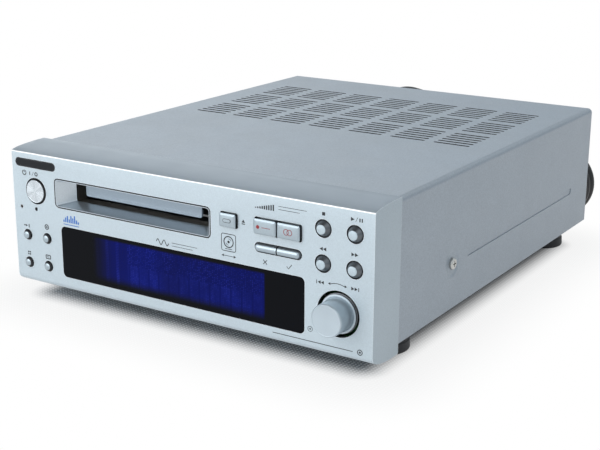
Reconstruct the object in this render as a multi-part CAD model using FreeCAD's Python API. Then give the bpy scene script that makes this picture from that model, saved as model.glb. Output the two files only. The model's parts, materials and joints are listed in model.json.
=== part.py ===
"""Minidisc deck: every piece as its own solid, in millimetres.

The pieces are drawn from the front panel's face and bottom edge: X runs to the right, Y runs back
from the face, Z runs up from the panel's bottom. Each is moved to the part's own frame when it is
written: +Z up, the origin on the floor, in the middle of the deck's box from jog dial to phono jacks.
"""

import FreeCAD, Part
import math
import os

V = FreeCAD.Vector

# ---------------------------------------------------------------- whole deck
PANEL_W = 205.0  # front panel, side to side
PANEL_H = 70.0  # front panel, bottom to top
PANEL_D = 22.6  # front panel, face to rear edge
PANEL_WALL = 2.2
BODY_D = 255.0  # panel face to the cover's rear edge
FOOT_H = 9.0  # floor to the panel's bottom
LOWER_CURVE = 4.2  # height that the face's bottom edge curves through
UPPER_CURVE = 2.2  # the same at the top
PANEL_CHIN = 2.2  # lip of the panel's bottom below its zero, deepest at the panel's rear edge
SIDE_ROUND = 2.0  # corner radius at the panel's rear edge, which runs out at the face
FIT = 0.3  # gap between neighbouring pieces that do not touch
RUN = 0.06  # radial clearance of a turning or sliding fit
OVER = 1.0  # reach of a cutter past what it cuts
SINK = 0.5  # depth to which joined shapes of one piece run into each other

# ---------------------------------------------------------------- sheet metal
COVER_INSET = 0.8  # cover behind the panel's outline
COVER_T = 0.8
COVER_BEND = 2.5  # outside radius of the cover's top edges
COVER_SKIRT = 3.0  # cover's lower edge above the panel's bottom
CHASSIS_T = 1.2
CHASSIS_FLANGE_H = 30.0
REAR_T = 1.0
REAR_INSET = 1.0  # rear panel's outside face in front of the cover's rear edge
VENT_COLUMNS = 7
VENT_COLUMN_PITCH = 24.87
VENT_SLOTS = 6
VENT_SLOT_PITCH = 4.8
VENT_SLOT_L = 19.8
VENT_SLOT_W = 1.9
VENT_ROWS = 3
VENT_ROW_PITCH = 33.0
VENT_REAR_MARGIN = 38.0  # cover's rear edge to the last slot
SIDE_SCREW_Y = 76.0
SIDE_SCREW_Z = 25.4
DIMPLE_R = 7.0
DIMPLE_SLOPE = 1.4
BEAD_START = 92.0
BEAD_END = 229.0
BEAD_Z = 24.5
BEAD_H = 3.6
BEAD_DEPTH = 0.4
TAB_W = 14.0
TAB_H = 11.0
TAB_INSET = 17.7  # outer tab's middle from the cover's side
TAB_SCREW_DOWN = 6.5  # cover's top to a tab's screw
CASE_SCREW_R = 1.2
CASE_SCREW_L = 6.0
CASE_HEAD_R = 2.8
CASE_HEAD_H = 1.6
SCREW_PLAY = 0.1  # radial, where a screw bites
HOLE_PLAY = 0.5  # radial, where a screw passes through
CROWN_SHARE = 0.55  # of a screw head's height that is round
CROSS_REACH = 0.55  # of a screw head's radius, for its cross
CROSS_HALF_W = 0.11

# ---------------------------------------------------------------- front layout
POWER_DOWN = 20.8  # panel's top to the power button's middle
POWER_R = 6.3
POWER_PROUD = 1.7
POWER_CHAMFER = 0.7
POWER_DISH_R = 60.0
POWER_DISH = 0.22  # depth of the dish in the face
LAMP_X = 4.9
LAMP_Z = 40.1
LAMP_R = 0.9
BADGE_X = 15.5
BADGE_W = 26.4
BADGE_H = 4.4
BADGE_DOWN = 7.2  # panel's top to the badge's middle
BADGE_T = 0.6
BADGE_PROUD = 0.15
BADGE_GAP = 0.075
DOME_X = 14.5  # middle of the four small buttons, from the left edge
DOME_Z = 18.8
DOME_PITCH_X = 12.95
DOME_PITCH_Z = 14.35
DOME_R = 2.4
DOME_PROUD = 1.5
DISPLAY_LEFT = 30.7  # display window to the panel's left edge
DISPLAY_RIGHT = 33.9
DISPLAY_Z = 8.1
DISPLAY_H = 26.0
DISPLAY_ROUND = 2.5
WINDOW_T = 1.5
WINDOW_LIP = 1.8  # of the panel behind the window's edge
WINDOW_GAP = 0.1
SLOT_W = 94.1
SLOT_H = 14.8
SLOT_DOWN = 19.7  # panel's top to the bezel's middle
SLOT_ROUND = 2.5
BEZEL_GAP = 0.35  # panel opening to bezel
BEZEL_RIM = 0.55
FUNNEL_D = 8.0
TUNNEL_D = 15.0
TUNNEL_W = 80.0
TUNNEL_WALL = 1.6
BEZEL_FLANGE = 2.5  # beyond the bezel's outline, behind the panel
BEZEL_FLANGE_T = 1.25
EJECT_W = 9.5  # key openings
EJECT_H = 7.1
PAIR_W = 24.5
PAIR_H = 7.9
PILL_H = 4.75
PILL_PROUD = 1.5
KEY_ROUND = 0.9  # corners of the key openings
KEY_BEVEL = 0.35
KEY_DOWN = 16.55  # panel's top to the middle of the eject and record keys
PILL_DOWN = 26.3
ROW_SHARES = (0.2208, 0.1061, 0.0954, 0.2933, 0.1907)  # of the spare width, before each item of the row
SPLIT = 0.6  # gap between the two keys of a pair
TRANSPORT_PITCH = 15.4
TRANSPORT_DOWN = 20.2
TRANSPORT_HOLE_R = 4.1
TRANSPORT_FACE_R = 2.4
JOG_Z = 21.0
JOG_HOLE_R = 10.5
JOG_FACE_R = 7.4
JOG_SKIRT_R = 9.1
KNOB_PROUD = 10.0
KNOB_BEVEL = 1.0
KNOB_DISH_R = 90.0
KNOB_DISH = 0.25
KEY_PROUD = 2.0
KEY_GAP = 0.4  # round a key in its opening
TRAVEL = 0.8  # of every key, and of the jog dial when it is pushed
KEY_FLANGE_T = 1.2
KEY_FLANGE_GAP = 0.15  # key's flange to the panel's back
KEY_LIP = 0.9  # key's flange beyond its opening
STEM_R = 1.5
ENCODER_W = 13.0
ENCODER_D = 6.4
SLEEVE_R = 4.6
SHAFT_R = 3.0
SHAFT_IN = 4.0  # knob's face to the shaft's end
SLEEVE_Y = 5.0  # front end of the sleeve
SLEEVE_REAR = 2.4  # sleeve's closed end to the front board

# ---------------------------------------------------------------- boards and display
BOARD_Y = 15.0  # front face of the front board
BOARD_T = 1.6
BOARD_MARGIN = 4.5  # front board's edge inside the panel's side
BOARD_SCREW_IN = 4.0  # board's edge to its screws
BOARD_SCREW_R = 1.0
BOSS_R = 2.4
SCREW_R = 1.2  # of the main board and the mechanism
SWITCH_D = 4.6  # tact switch, board to plunger tip
SWITCH_W = 6.0
PLUNGER_R = 1.7
PLUNGER_L = 1.1
TUBE_W = 104.0
TUBE_H = 22.0
TUBE_T = 6.5
TUBE_GAP = 1.6  # panel's back to the tube
TUBE_LEG_PITCH = 40.0
TUBE_LEG_W = 12.0
TUBE_LEG_H = 6.0
MAIN_Z = 10.0
MAIN_GAP = 8.0  # transformer to the main board
MECH_GAP = 14.0  # mechanism's deck to the main board
SOCKET_GAP = 4.0  # main board's edge to the rear panel
STANDOFF_R = 3.0
MAIN_SCREW_IN = 6.0  # main board's edge to its screws
RIBBON_T = 0.5
RIBBON_W = 24.0
RIBBON_IN = 20.0  # mechanism's side to the front ribbon
CONNECTOR_D = 5.0
CONNECTOR_H = 5.5
HEAT_IN = 16.0  # main board's left edge to the heat sink
HEAT_BACK = 31.0  # rear panel to the heat sink
HEAT_W = 40.0
HEAT_H = 34.0
HEAT_BASE_T = 2.5
FIN_T = 1.4
FIN_L = 13.0
FINS = 7
REGULATOR_PITCH = 13.0
CORE_IN = 1.5  # chassis flange to the transformer's ear
CORE_BACK = 56.0  # rear panel to the transformer's middle
CORE_W = 48.0
CORE_T = 22.0
CORE_H = 40.0
CORE_LEG = 8.0
CORE_EAR = 5.0
CORE_EAR_T = 1.5
COIL_REACH = 10.0  # of the winding beyond the core

# ---------------------------------------------------------------- disc mechanism
DISC_W = 72.0  # cartridge
DISC_L = 68.0
DISC_T = 5.0
DISC_DROP = 1.0  # cartridge's middle below the bezel's middle
DOOR_W = 70.2
DOOR_Y = 10.0
DOOR_T = 1.2
DOOR_ROUND = 1.2
PIVOT_R = 0.9
DOOR_PIN_IN = 1.0  # pin's ends inside the tunnel's walls
PIVOT_END_GAP = 0.1
TUNNEL_ROUND = 1.0
THROAT_ROUND = 0.8
THROAT_STEP = 0.4  # tunnel's floor to the throat's lower edge
HOLDER_Y = 20.0
HOLDER_WALL = 1.2
HOLDER_SKIN = 1.0  # above and below the cartridge
HOLDER_LOWER_W = 34.0  # windows for the turntable and pickup, and for the head
HOLDER_UPPER_W = 18.0
HOLDER_RIM = 4.0  # behind the windows
HOLDER_PLAY = 1.2  # round the cartridge, side to side
LOWERING = 4.0  # of the cartridge holder
SLIDER_TRAVEL = 12.0
SLIDER_T = 1.2
DECK_WINDOW = 12.0  # half-width of the deck's window for the sled
DECK_T = 1.2
DECK_TAIL = 6.8  # deck's rear edge behind the rear lug
PIN_R = 1.2
PIN_PLAY = 0.15
PIN_IN = 14.0  # holder's ends to its pins
STUD_BACK = 22.0  # pins to the slider's studs
POST_R = 3.5
GEAR_TEETH = 16
GEAR_MODULE = 0.8
ADDENDUM = 0.85  # in modules
DEDENDUM = 1.15
RACK_SLOPE = 0.36  # tangent of the rack's pressure angle
SLED_TRAVEL = 14.0
RAIL_R = 1.5
RAIL_X = 21.0  # guide rods from the mechanism's middle
SCREW_X = 28.0
LUG_T = 2.0
LUG_HALF = 3.0  # from a rod to its lug's edge
SPINDLE_MOTOR_R = 9.5
SPINDLE_MOTOR_H = 9.3
SPINDLE_R = 1.0
SHAFT_DEPTH = 6.5  # turntable's shaft below the deck
TURNTABLE_R = 7.5
TURNTABLE_T = 1.2
TURNTABLE_UP = 0.5
HUB_R = 3.0
SLED_L = 28.0
LENS_Y = 6.5  # sled's front edge to its lens
LENS_TOWER_R = 4.5
LENS_R = 3.2
SCREW_END = 4.0  # lead screw's end inside its motor
SLED_MOTOR_R = 6.0
SLED_MOTOR_L = 14.0
ARM_W = 7.0
ARM_T = 0.8
ARM_PIN_R = 1.0
HEAD_L = 6.6
GEAR_SHAFT_R = 1.5
GEAR_SHAFT_IN = 5.5  # gear's shaft inside the mechanism's wall
EAR_X = 5.0  # inside of the ears that carry the head arm
EAR_T = 2.0
BACKLASH = 0.12  # taken off each side of a gear or rack tooth

# ---------------------------------------------------------------- rear
JACK_PROUD = 8.0
JACK_R = 4.15
JACK_PITCH = 14.0
JACK_BORE_R = 1.65
JACK_BLOCK_D = 12.0
JACK_BLOCK_H = 31.0
JACK_X = 30.0  # middle of the jack block from the panel's right edge
OPTICAL_X = 66.0  # middle of the optical sockets from the right edge
OPTICAL_PITCH = 14.0
OPTICAL_W = 10.6
OPTICAL_MOUTH_W = 6.4
OPTICAL_D = 11.0
OPTICAL_UP = 8.0  # main board to a socket's middle
OPTICAL_PROUD = 1.0
REAR_VENTS = 9
REAR_VENT_PITCH = 6.0
REAR_VENT_W = 2.0
REAR_VENT_Z0 = 16.0
REAR_VENT_Z1 = 40.0
CORD_X = 60.5  # cord exit from the panel's left edge
CORD_DOWN = 11.0  # panel's top to the cord exit
CORD_R = 3.0
RELIEF_L = 32.0
RELIEF_NECK_R = 5.8
RELIEF_FLANGE = 2.0
HANK_TURN_R = 19.0  # cord's middle round the folds
HANK_REACH = 39.0  # fold centres from the hank's middle
HANK_TURNS = 6  # cords side by side
HANK_X = 31.0
HANK_BEHIND = 2.0  # hank behind the jacks' ends
TIE_W = 9.0
TIE_T = 1.2
STUB_L = 12.0  # cord's run into the hank
PLUG_L = 31.0
PLUG_BODY_L = 20.0
PLUG_W = 18.0
PLUG_H = 14.0
BLADE_L = 17.0
BLADE_W = 6.3
BLADE_T = 1.5
BLADE_PITCH = 12.7
PLUG_LEAD = 12.0  # cord between the hank and the plug
FOOT_R = 12.0
FRONT_FOOT_Y = 44.0
REAR_FOOT_BACK = 20.0  # rear panel to the rear feet
FOOT_INSET = 18.5  # a foot's middle from the panel's side
FOOT_TAPER = 0.8
FOOT_ROUND = 1.2
FOOT_STUD_R = 2.0
FOOT_STUD_UP = 1.5  # stud's end above the chassis
FOOT_RECESS = 3.0
FOOT_RECESS_SHARE = 0.45  # of a foot's radius

# ---------------------------------------------------------------- worked out
LEFT = -PANEL_W / 2
RIGHT = PANEL_W / 2
OVERALL_D = KNOB_PROUD + BODY_D - REAR_INSET + JACK_PROUD
ORIGIN = V(0, KNOB_PROUD - OVERALL_D / 2, FOOT_H)
FLOOR = -FOOT_H
COVER_X = RIGHT - COVER_INSET
COVER_TOP = PANEL_H - COVER_INSET
TAB_SCREW_Z = COVER_TOP - TAB_SCREW_DOWN
COVER_Y0 = PANEL_D + FIT
CHASSIS_Z = PANEL_WALL + 0.3  # chassis underside, just above the panel's inner floor
CHASSIS_TOP = CHASSIS_Z + CHASSIS_T
BOARD_Z0 = CHASSIS_TOP + 0.8
BOARD_BACK = BOARD_Y + BOARD_T
REAR_Y = BODY_D - REAR_INSET  # outside face of the rear panel
REAR_IN = REAR_Y - REAR_T
FLANGE_X = COVER_X - COVER_T - 0.2  # outside of the chassis flanges
CORE_X = -FLANGE_X + CHASSIS_T + CORE_IN + CORE_EAR + CORE_W / 2
CORE_Y = REAR_IN - CORE_BACK
MAIN_X0 = CORE_X + CORE_W / 2 + CORE_EAR + MAIN_GAP
MAIN_X1 = FLANGE_X - CHASSIS_T - CORE_IN
MAIN_Y1 = REAR_IN - SOCKET_GAP
MAIN_TOP = MAIN_Z + BOARD_T
HEAT_X = MAIN_X0 + HEAT_IN + HEAT_W / 2
HEAT_Y = REAR_IN - HEAT_BACK
ROW_SPANS = (
    2 * (POWER_R + KEY_GAP + KEY_LIP),
    SLOT_W + 2 * (BEZEL_FLANGE - BEZEL_GAP),
    EJECT_W + 2 * KEY_LIP,
    PAIR_W + 2 * KEY_LIP,
    TRANSPORT_PITCH + 2 * (TRANSPORT_HOLE_R + KEY_LIP),
)
SPARE_W = PANEL_W - 2 * PANEL_WALL - sum(ROW_SPANS)
ROW_X = []  # middles of the power button, slot, eject key, key pairs and transport keys
row_end = LEFT + PANEL_WALL
for share, span in zip(ROW_SHARES, ROW_SPANS):
    row_end += share * SPARE_W + span
    ROW_X.append(row_end - span / 2)
POWER_X, SLOT_X, EJECT_X, PAIR_X, TRANSPORT_X = ROW_X
SLOT_X0 = SLOT_X - SLOT_W / 2
SLOT_X1 = SLOT_X + SLOT_W / 2
POWER_Z = PANEL_H - POWER_DOWN
SLOT_Z = PANEL_H - SLOT_DOWN
KEY_Z = PANEL_H - KEY_DOWN
PILL_Z = PANEL_H - PILL_DOWN
BADGE_Z = PANEL_H - BADGE_DOWN
TRANSPORT_Z = PANEL_H - TRANSPORT_DOWN
DISPLAY_X0 = LEFT + DISPLAY_LEFT
DISPLAY_X1 = RIGHT - DISPLAY_RIGHT
BEZEL_BACK = PANEL_WALL + 0.05
SWITCH_TIP = BOARD_Y - SWITCH_D
STEM_END = SWITCH_TIP - TRAVEL - 0.1
SLEEVE_FLOOR_Y = BOARD_Y - SLEEVE_REAR - 1.4  # bottom of the sleeve's bore
KEY_FLANGE_Y = PANEL_WALL + KEY_FLANGE_GAP
KEY_FLANGE_Y1 = KEY_FLANGE_Y + KEY_FLANGE_T
DISC_Z = SLOT_Z - DISC_DROP
TUNNEL_X0 = SLOT_X - TUNNEL_W / 2
TUNNEL_X1 = SLOT_X + TUNNEL_W / 2
TUNNEL_Z0 = SLOT_Z - 5.2
TUNNEL_Z1 = SLOT_Z + 8.3
FUNNEL_TOP = SLOT_Z + 4.7
PIVOT_Z = SLOT_Z + 6.3
DOOR_BOTTOM = SLOT_Z - 2.1
MECH_X = SLOT_X
HOLDER_IN_W = DISC_W + HOLDER_PLAY
HOLDER_IN_T = DISC_T + 0.6
HOLDER_W = HOLDER_IN_W + 2 * HOLDER_WALL
HOLDER_D = DISC_L + 2 * HOLDER_WALL + 1.6
HOLDER_Y1 = HOLDER_Y + HOLDER_D
HOLDER_Z0 = DISC_Z - HOLDER_IN_T / 2 - HOLDER_SKIN
HOLDER_Z1 = DISC_Z + HOLDER_IN_T / 2 + HOLDER_SKIN
DECK_TOP = HOLDER_Z0 - LOWERING - 1.0
DECK_Z = DECK_TOP - DECK_T
WALL_IN = HOLDER_W / 2 + 2.5  # mechanism's side walls, from its middle
WALL_OUT = WALL_IN + DECK_T
SPINDLE_Y = HOLDER_Y + 2.0 + DISC_L / 2
PIN_YS = (HOLDER_Y + PIN_IN, HOLDER_Y1 - PIN_IN)
STUD_YS = (PIN_YS[0] + STUD_BACK, PIN_YS[1] + STUD_BACK - 8.0)
SLIDER_X = WALL_OUT + 0.4
PIN_END = SLIDER_X + SLIDER_T + 0.6  # of the holder's pins and the slider's studs
SLIDER_Z0 = DISC_Z - LOWERING - 2.3
SLIDER_Z1 = DISC_Z + 3.7
STUD_Z = DISC_Z - 2.0
PITCH_R = GEAR_TEETH * GEAR_MODULE / 2
RACK_LINE = SLIDER_Z0 - 1.0
GEAR_Y = PIN_YS[1] + 6.0
GEAR_Z = RACK_LINE - PITCH_R
RAIL_Z = DECK_Z - 7.3
SLED_Y0 = SPINDLE_Y + 10.5
SLED_Y1 = SLED_Y0 + SLED_L
ARM_Z = HOLDER_Z1 + 1.6
ARM_Y = SLED_Y1 + 1.0
LUG_FRONT = SLED_Y0 - 4.0
LUG_REAR = SLED_Y1 + SLED_TRAVEL + 4.7
SLED_MOTOR_Y = LUG_REAR + LUG_T
DECK_Y1 = SLED_MOTOR_Y + DECK_TAIL
MAIN_Y0 = DECK_Y1 + MECH_GAP
JACK_BLOCK_X = RIGHT - JACK_X
CORD_EXIT = V(LEFT + CORD_X, REAR_Y + RELIEF_L, PANEL_H - CORD_DOWN)
HANK_Y = REAR_Y + JACK_PROUD + HANK_BEHIND + HANK_TURNS * CORD_R
HANK_Z = FLOOR + HANK_TURN_R + CORD_R
HANK_FRONT = HANK_Y - HANK_TURNS * CORD_R + CORD_R  # middle of the cord nearest the deck
PLUG_X = HANK_X - HANK_REACH - HANK_TURN_R - PLUG_LEAD  # where the cord enters the plug

# Corners of the cord's route from the strain relief to the hank, as (x, y, z).
ROUTE = [
    (CORD_EXIT.x, CORD_EXIT.y, CORD_EXIT.z),
    (-42.0, 300.0, 59.0),
    (-40.0, 317.0, 54.0),
    (-28.0, 331.0, 47.5),
    (-8.0, 335.0, 41.5),
    (16.0, 327.0, 38.0),
    (38.0, 313.0, 35.5),
    (58.0, 301.0, 34.0),
]


# ---------------------------------------------------------------- shape helpers
def block(x0, x1, y0, y1, z0, z1):
    """Box between two corners."""
    return Part.makeBox(x1 - x0, y1 - y0, z1 - z0, V(x0, y0, z0))


def rod_x(r, y, z, x0, x1):
    """Cylinder along X."""
    return Part.makeCylinder(r, x1 - x0, V(x0, y, z), V(1, 0, 0))


def rod_y(r, x, z, y0, y1):
    """Cylinder along Y."""
    return Part.makeCylinder(r, y1 - y0, V(x, y0, z), V(0, 1, 0))


def rod_z(r, x, y, z0, z1):
    """Cylinder along Z."""
    return Part.makeCylinder(r, z1 - z0, V(x, y, z0), V(0, 0, 1))


def cone_y(r0, r1, x, z, y0, y1):
    """Cone frustum along Y, radius r0 at y0 and r1 at y1."""
    return Part.makeCone(r0, r1, y1 - y0, V(x, y0, z), V(0, 1, 0))


def rounded_wire(a0, a1, b0, b1, r, place):
    """Outline of a rectangle with round corners; place turns (a, b) into a point."""
    k = r * (1 - math.sqrt(0.5))
    corners = [
        ((a1 - r, b0), (a1 - k, b0 + k), (a1, b0 + r)),
        ((a1, b1 - r), (a1 - k, b1 - k), (a1 - r, b1)),
        ((a0 + r, b1), (a0 + k, b1 - k), (a0, b1 - r)),
        ((a0, b0 + r), (a0 + k, b0 + k), (a0 + r, b0)),
    ]
    edges = []
    for i, (start, middle, end) in enumerate(corners):
        edges.append(Part.Arc(place(*start), place(*middle), place(*end)).toShape())
        following = corners[(i + 1) % 4][0]
        if math.dist(end, following) > 1e-6:
            edges.append(Part.LineSegment(place(*end), place(*following)).toShape())
    return Part.Wire(edges)


def plate_y(x0, x1, z0, z1, r, y0, y1):
    """Plate in the XZ plane with round corners, from y0 to y1."""
    wire = rounded_wire(x0, x1, z0, z1, r, lambda a, b: V(a, y0, b))
    return Part.Face(wire).extrude(V(0, y1 - y0, 0))


def plate_z(x0, x1, y0, y1, r, z0, z1):
    """Plate in the XY plane with round corners, from z0 to z1."""
    wire = rounded_wire(x0, x1, y0, y1, r, lambda a, b: V(a, b, z0))
    return Part.Face(wire).extrude(V(0, 0, z1 - z0))


def polygon_x(points, x0, x1):
    """Prism along X from (y, z) points."""
    outline = [V(x0, y, z) for y, z in points]
    return Part.Face(Part.makePolygon(outline + outline[:1])).extrude(V(x1 - x0, 0, 0))


def slot_x(r, start, end, x0, x1):
    """Round-ended slot cutter along X between two (y, z) centres."""
    angle = math.atan2(end[1] - start[1], end[0] - start[0])
    dy, dz = -r * math.sin(angle), r * math.cos(angle)
    middle = polygon_x(
        [
            (start[0] + dy, start[1] + dz),
            (start[0] - dy, start[1] - dz),
            (end[0] - dy, end[1] - dz),
            (end[0] + dy, end[1] + dz),
        ],
        x0,
        x1,
    )
    return joined([middle, rod_x(r, *start, x0, x1), rod_x(r, *end, x0, x1)])


def joined(shapes):
    """One solid from overlapping ones."""
    return shapes[0].fuse(shapes[1:]).removeSplitter()


def circles_at(shape, seat, out, height):
    """Closed edges of a shape that lie at a height above a seat."""
    return [e for e in shape.Edges if e.Closed and abs((e.CenterOfMass - seat).dot(out) - height) < 0.01]


def pan_screw(tip, axis, head_r, head_h, shank_r, length):
    """Pan-head cross screw: tip is on its seat, and axis points out of the head."""
    out = V(*axis)
    seat = V(*tip)
    head = Part.makeCylinder(head_r, head_h, seat, out)
    head = head.makeFillet(head_h * CROWN_SHARE, circles_at(head, seat, out, head_h))
    side = V(out.y, out.z, out.x)
    other = out.cross(side)
    reach, half_w, depth = head_r * CROSS_REACH, head_r * CROSS_HALF_W, head_h * (1 - CROWN_SHARE)
    cuts = []
    for along, across in ((side, other), (other, side)):
        corner = seat + out * depth - along * reach - across * half_w
        size = along * 2 * reach + across * 2 * half_w + out * head_h
        low = V(*(min(corner[i], (corner + size)[i]) for i in range(3)))
        cuts.append(Part.makeBox(*(abs(size[i]) for i in range(3)), low))
    shank = Part.makeCylinder(shank_r, length, seat - out * length, out)
    return joined([head.cut(cuts), shank])


# ---------------------------------------------------------------- front panel
def panel_solid(inset, chin):
    """Panel outline with its elliptical bottom and top edges, shrunk by inset and extruded side to side."""
    lower = LOWER_CURVE + chin - inset
    upper = max(UPPER_CURVE - inset, 0.6)
    top = PANEL_H - inset
    depth = PANEL_D - inset
    low = V(0, PANEL_D, LOWER_CURVE)
    high = V(0, PANEL_D, top - upper)
    bottom_curve = Part.Ellipse(low + V(0, -depth, 0), low + V(0, 0, -lower), low)
    top_curve = Part.Ellipse(high + V(0, -depth, 0), high + V(0, 0, upper), high)
    wire = Part.Wire(
        Part.__sortEdges__(
            [
                Part.ArcOfEllipse(bottom_curve, 0, math.pi / 2).toShape(),
                Part.LineSegment(low + V(0, -depth, 0), high + V(0, -depth, 0)).toShape(),
                Part.ArcOfEllipse(top_curve, 0, math.pi / 2).toShape(),
                Part.LineSegment(high + V(0, 0, upper), low + V(0, 0, -lower)).toShape(),
            ]
        )
    )
    half = RIGHT - inset
    face = Part.Face(wire)
    face.translate(V(-half, 0, 0))
    return face.extrude(V(2 * half, 0, 0))


def side_curves(solid, front_first):
    """The curved edges at the panel's two sides, split by which end their first vertex lies at."""
    found = []
    for edge in solid.Edges:
        if abs(abs(edge.CenterOfMass.x) - RIGHT) > 0.01 or "Ellipse" not in edge.Curve.TypeId:
            continue
        starts_in_front = edge.Vertexes[0].Point.y < edge.Vertexes[-1].Point.y
        if starts_in_front == front_first:
            found.append(edge)
    return found


def key_openings():
    """Cutters for every opening in the panel's face."""
    through = PANEL_WALL + OVER
    slot_z0, slot_z1 = SLOT_Z - SLOT_H / 2, SLOT_Z + SLOT_H / 2
    cuts = [
        rod_y(POWER_R + KEY_GAP, POWER_X, POWER_Z, -OVER, through),
        rod_y(LAMP_R, LEFT + LAMP_X, LAMP_Z, -OVER, through),
        plate_y(SLOT_X0, SLOT_X1, slot_z0, slot_z1, SLOT_ROUND, -OVER, through),
        rod_y(JOG_HOLE_R, TRANSPORT_X, JOG_Z, -OVER, through),
        key_plate(EJECT_X, KEY_Z, EJECT_W, EJECT_H, KEY_ROUND, -OVER, through),
        key_plate(PAIR_X, KEY_Z, PAIR_W, PAIR_H, KEY_ROUND, -OVER, through),
        key_plate(PAIR_X, PILL_Z, PAIR_W, PILL_H, PILL_H / 2, -OVER, through),
    ]
    cuts += [rod_y(DOME_R + KEY_GAP, x, z, -OVER, through) for x, z in dome_places().values()]
    cuts += [rod_y(TRANSPORT_HOLE_R, x, z, -OVER, through) for x, z in transport_places().values()]
    return cuts


def key_plate(x, z, w, h, r, y0, y1):
    """Round-cornered plate about a centre."""
    return plate_y(x - w / 2, x + w / 2, z - h / 2, z + h / 2, r, y0, y1)


def dome_places():
    """Centres of the four small round buttons."""
    x, z = LEFT + DOME_X, DOME_Z
    dx, dz = DOME_PITCH_X / 2, DOME_PITCH_Z / 2
    return {
        "input_button": (x - dx, z + dz),
        "rec_mode_button": (x + dx, z + dz),
        "display_button": (x - dx, z - dz),
        "group_button": (x + dx, z - dz),
    }


def transport_places():
    """Centres of the four transport keys."""
    step = TRANSPORT_PITCH / 2
    return {
        "stop_button": (TRANSPORT_X - step, TRANSPORT_Z + step),
        "play_button": (TRANSPORT_X + step, TRANSPORT_Z + step),
        "rewind_button": (TRANSPORT_X - step, TRANSPORT_Z - step),
        "forward_button": (TRANSPORT_X + step, TRANSPORT_Z - step),
    }


def front_panel():
    """Shell open at the back, with its openings, the window's rebate and the badge's recess."""
    outer = panel_solid(0, PANEL_CHIN)
    outer = outer.makeFillet(SIDE_ROUND / 20, SIDE_ROUND, side_curves(outer, True))
    inner = panel_solid(PANEL_WALL, 0)
    z0, z1 = DISPLAY_Z, DISPLAY_Z + DISPLAY_H
    rebate = plate_y(DISPLAY_X0, DISPLAY_X1, z0, z1, DISPLAY_ROUND, -OVER, WINDOW_T + WINDOW_GAP)
    window = plate_y(
        DISPLAY_X0 + WINDOW_LIP,
        DISPLAY_X1 - WINDOW_LIP,
        z0 + WINDOW_LIP,
        z1 - WINDOW_LIP,
        DISPLAY_ROUND - WINDOW_LIP / 2,
        0,
        PANEL_WALL + OVER,
    )
    badge = key_plate(LEFT + BADGE_X, BADGE_Z, BADGE_W, BADGE_H, BADGE_H / 2, -OVER, BADGE_T)
    return outer.cut([inner, rebate, window, badge] + key_openings())


def badge_plate():
    """Bare pill-shaped plate that sits in its recess, a hair proud of the face."""
    w, h = BADGE_W - 2 * BADGE_GAP, BADGE_H - 2 * BADGE_GAP
    return key_plate(LEFT + BADGE_X, BADGE_Z, w, h, h / 2, -BADGE_PROUD, BADGE_T)


def display_window():
    """Flat window that lies on its rebate's floor, a hair behind the face."""
    return plate_y(
        DISPLAY_X0 + WINDOW_GAP,
        DISPLAY_X1 - WINDOW_GAP,
        DISPLAY_Z + WINDOW_GAP,
        DISPLAY_Z + DISPLAY_H - WINDOW_GAP,
        DISPLAY_ROUND - WINDOW_GAP,
        WINDOW_GAP,
        WINDOW_T + WINDOW_GAP,
    )


# ---------------------------------------------------------------- slot bezel and door
def slot_bezel():
    """Rimmed funnel that leads the cartridge in, with a tunnel behind it that carries the door's pivots."""
    x0, x1 = SLOT_X0 + BEZEL_GAP, SLOT_X1 - BEZEL_GAP
    z0, z1 = SLOT_Z - SLOT_H / 2 + BEZEL_GAP, SLOT_Z + SLOT_H / 2 - BEZEL_GAP
    rim = plate_y(x0, x1, z0, z1, SLOT_ROUND - BEZEL_GAP, 0.0, FUNNEL_D)
    flange = plate_y(
        x0 - BEZEL_FLANGE,
        x1 + BEZEL_FLANGE,
        z0 - BEZEL_FLANGE,
        z1 + BEZEL_FLANGE,
        SLOT_ROUND,
        BEZEL_BACK,
        BEZEL_BACK + BEZEL_FLANGE_T,
    )
    tunnel = plate_y(
        TUNNEL_X0 - TUNNEL_WALL,
        TUNNEL_X1 + TUNNEL_WALL,
        TUNNEL_Z0 - TUNNEL_WALL,
        TUNNEL_Z1 + TUNNEL_WALL,
        TUNNEL_ROUND,
        BEZEL_BACK,
        TUNNEL_D,
    )
    hair = 0.001
    mouth = rounded_wire(
        x0 + BEZEL_RIM,
        x1 - BEZEL_RIM,
        z0 + BEZEL_RIM,
        z1 - BEZEL_RIM,
        SLOT_ROUND - BEZEL_GAP - BEZEL_RIM,
        lambda a, b: V(a, -hair, b),
    )
    throat = rounded_wire(
        TUNNEL_X0,
        TUNNEL_X1,
        TUNNEL_Z0 + THROAT_STEP,
        FUNNEL_TOP,
        THROAT_ROUND,
        lambda a, b: V(a, FUNNEL_D + hair, b),
    )
    funnel = Part.makeLoft([mouth, throat], True, True)
    passage = block(TUNNEL_X0, TUNNEL_X1, FUNNEL_D, TUNNEL_D + OVER, TUNNEL_Z0, TUNNEL_Z1)
    pivot = DOOR_PIN_IN + PIVOT_END_GAP
    pivots = rod_x(PIVOT_R + RUN, DOOR_Y, PIVOT_Z, TUNNEL_X0 - pivot, TUNNEL_X1 + pivot)
    return joined([rim, flange, tunnel]).cut([funnel, passage, pivots])


def slot_door():
    """Flap that hangs from a pin along its top edge; its lower corners are round."""
    x0, x1 = SLOT_X - DOOR_W / 2, SLOT_X + DOOR_W / 2
    y0, y1 = DOOR_Y - DOOR_T / 2, DOOR_Y + DOOR_T / 2
    leaf = plate_y(x0, x1, DOOR_BOTTOM, PIVOT_Z, DOOR_ROUND, y0, y1)
    pin = rod_x(PIVOT_R, DOOR_Y, PIVOT_Z, TUNNEL_X0 - DOOR_PIN_IN, TUNNEL_X1 + DOOR_PIN_IN)
    return joined([leaf, pin])


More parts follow.
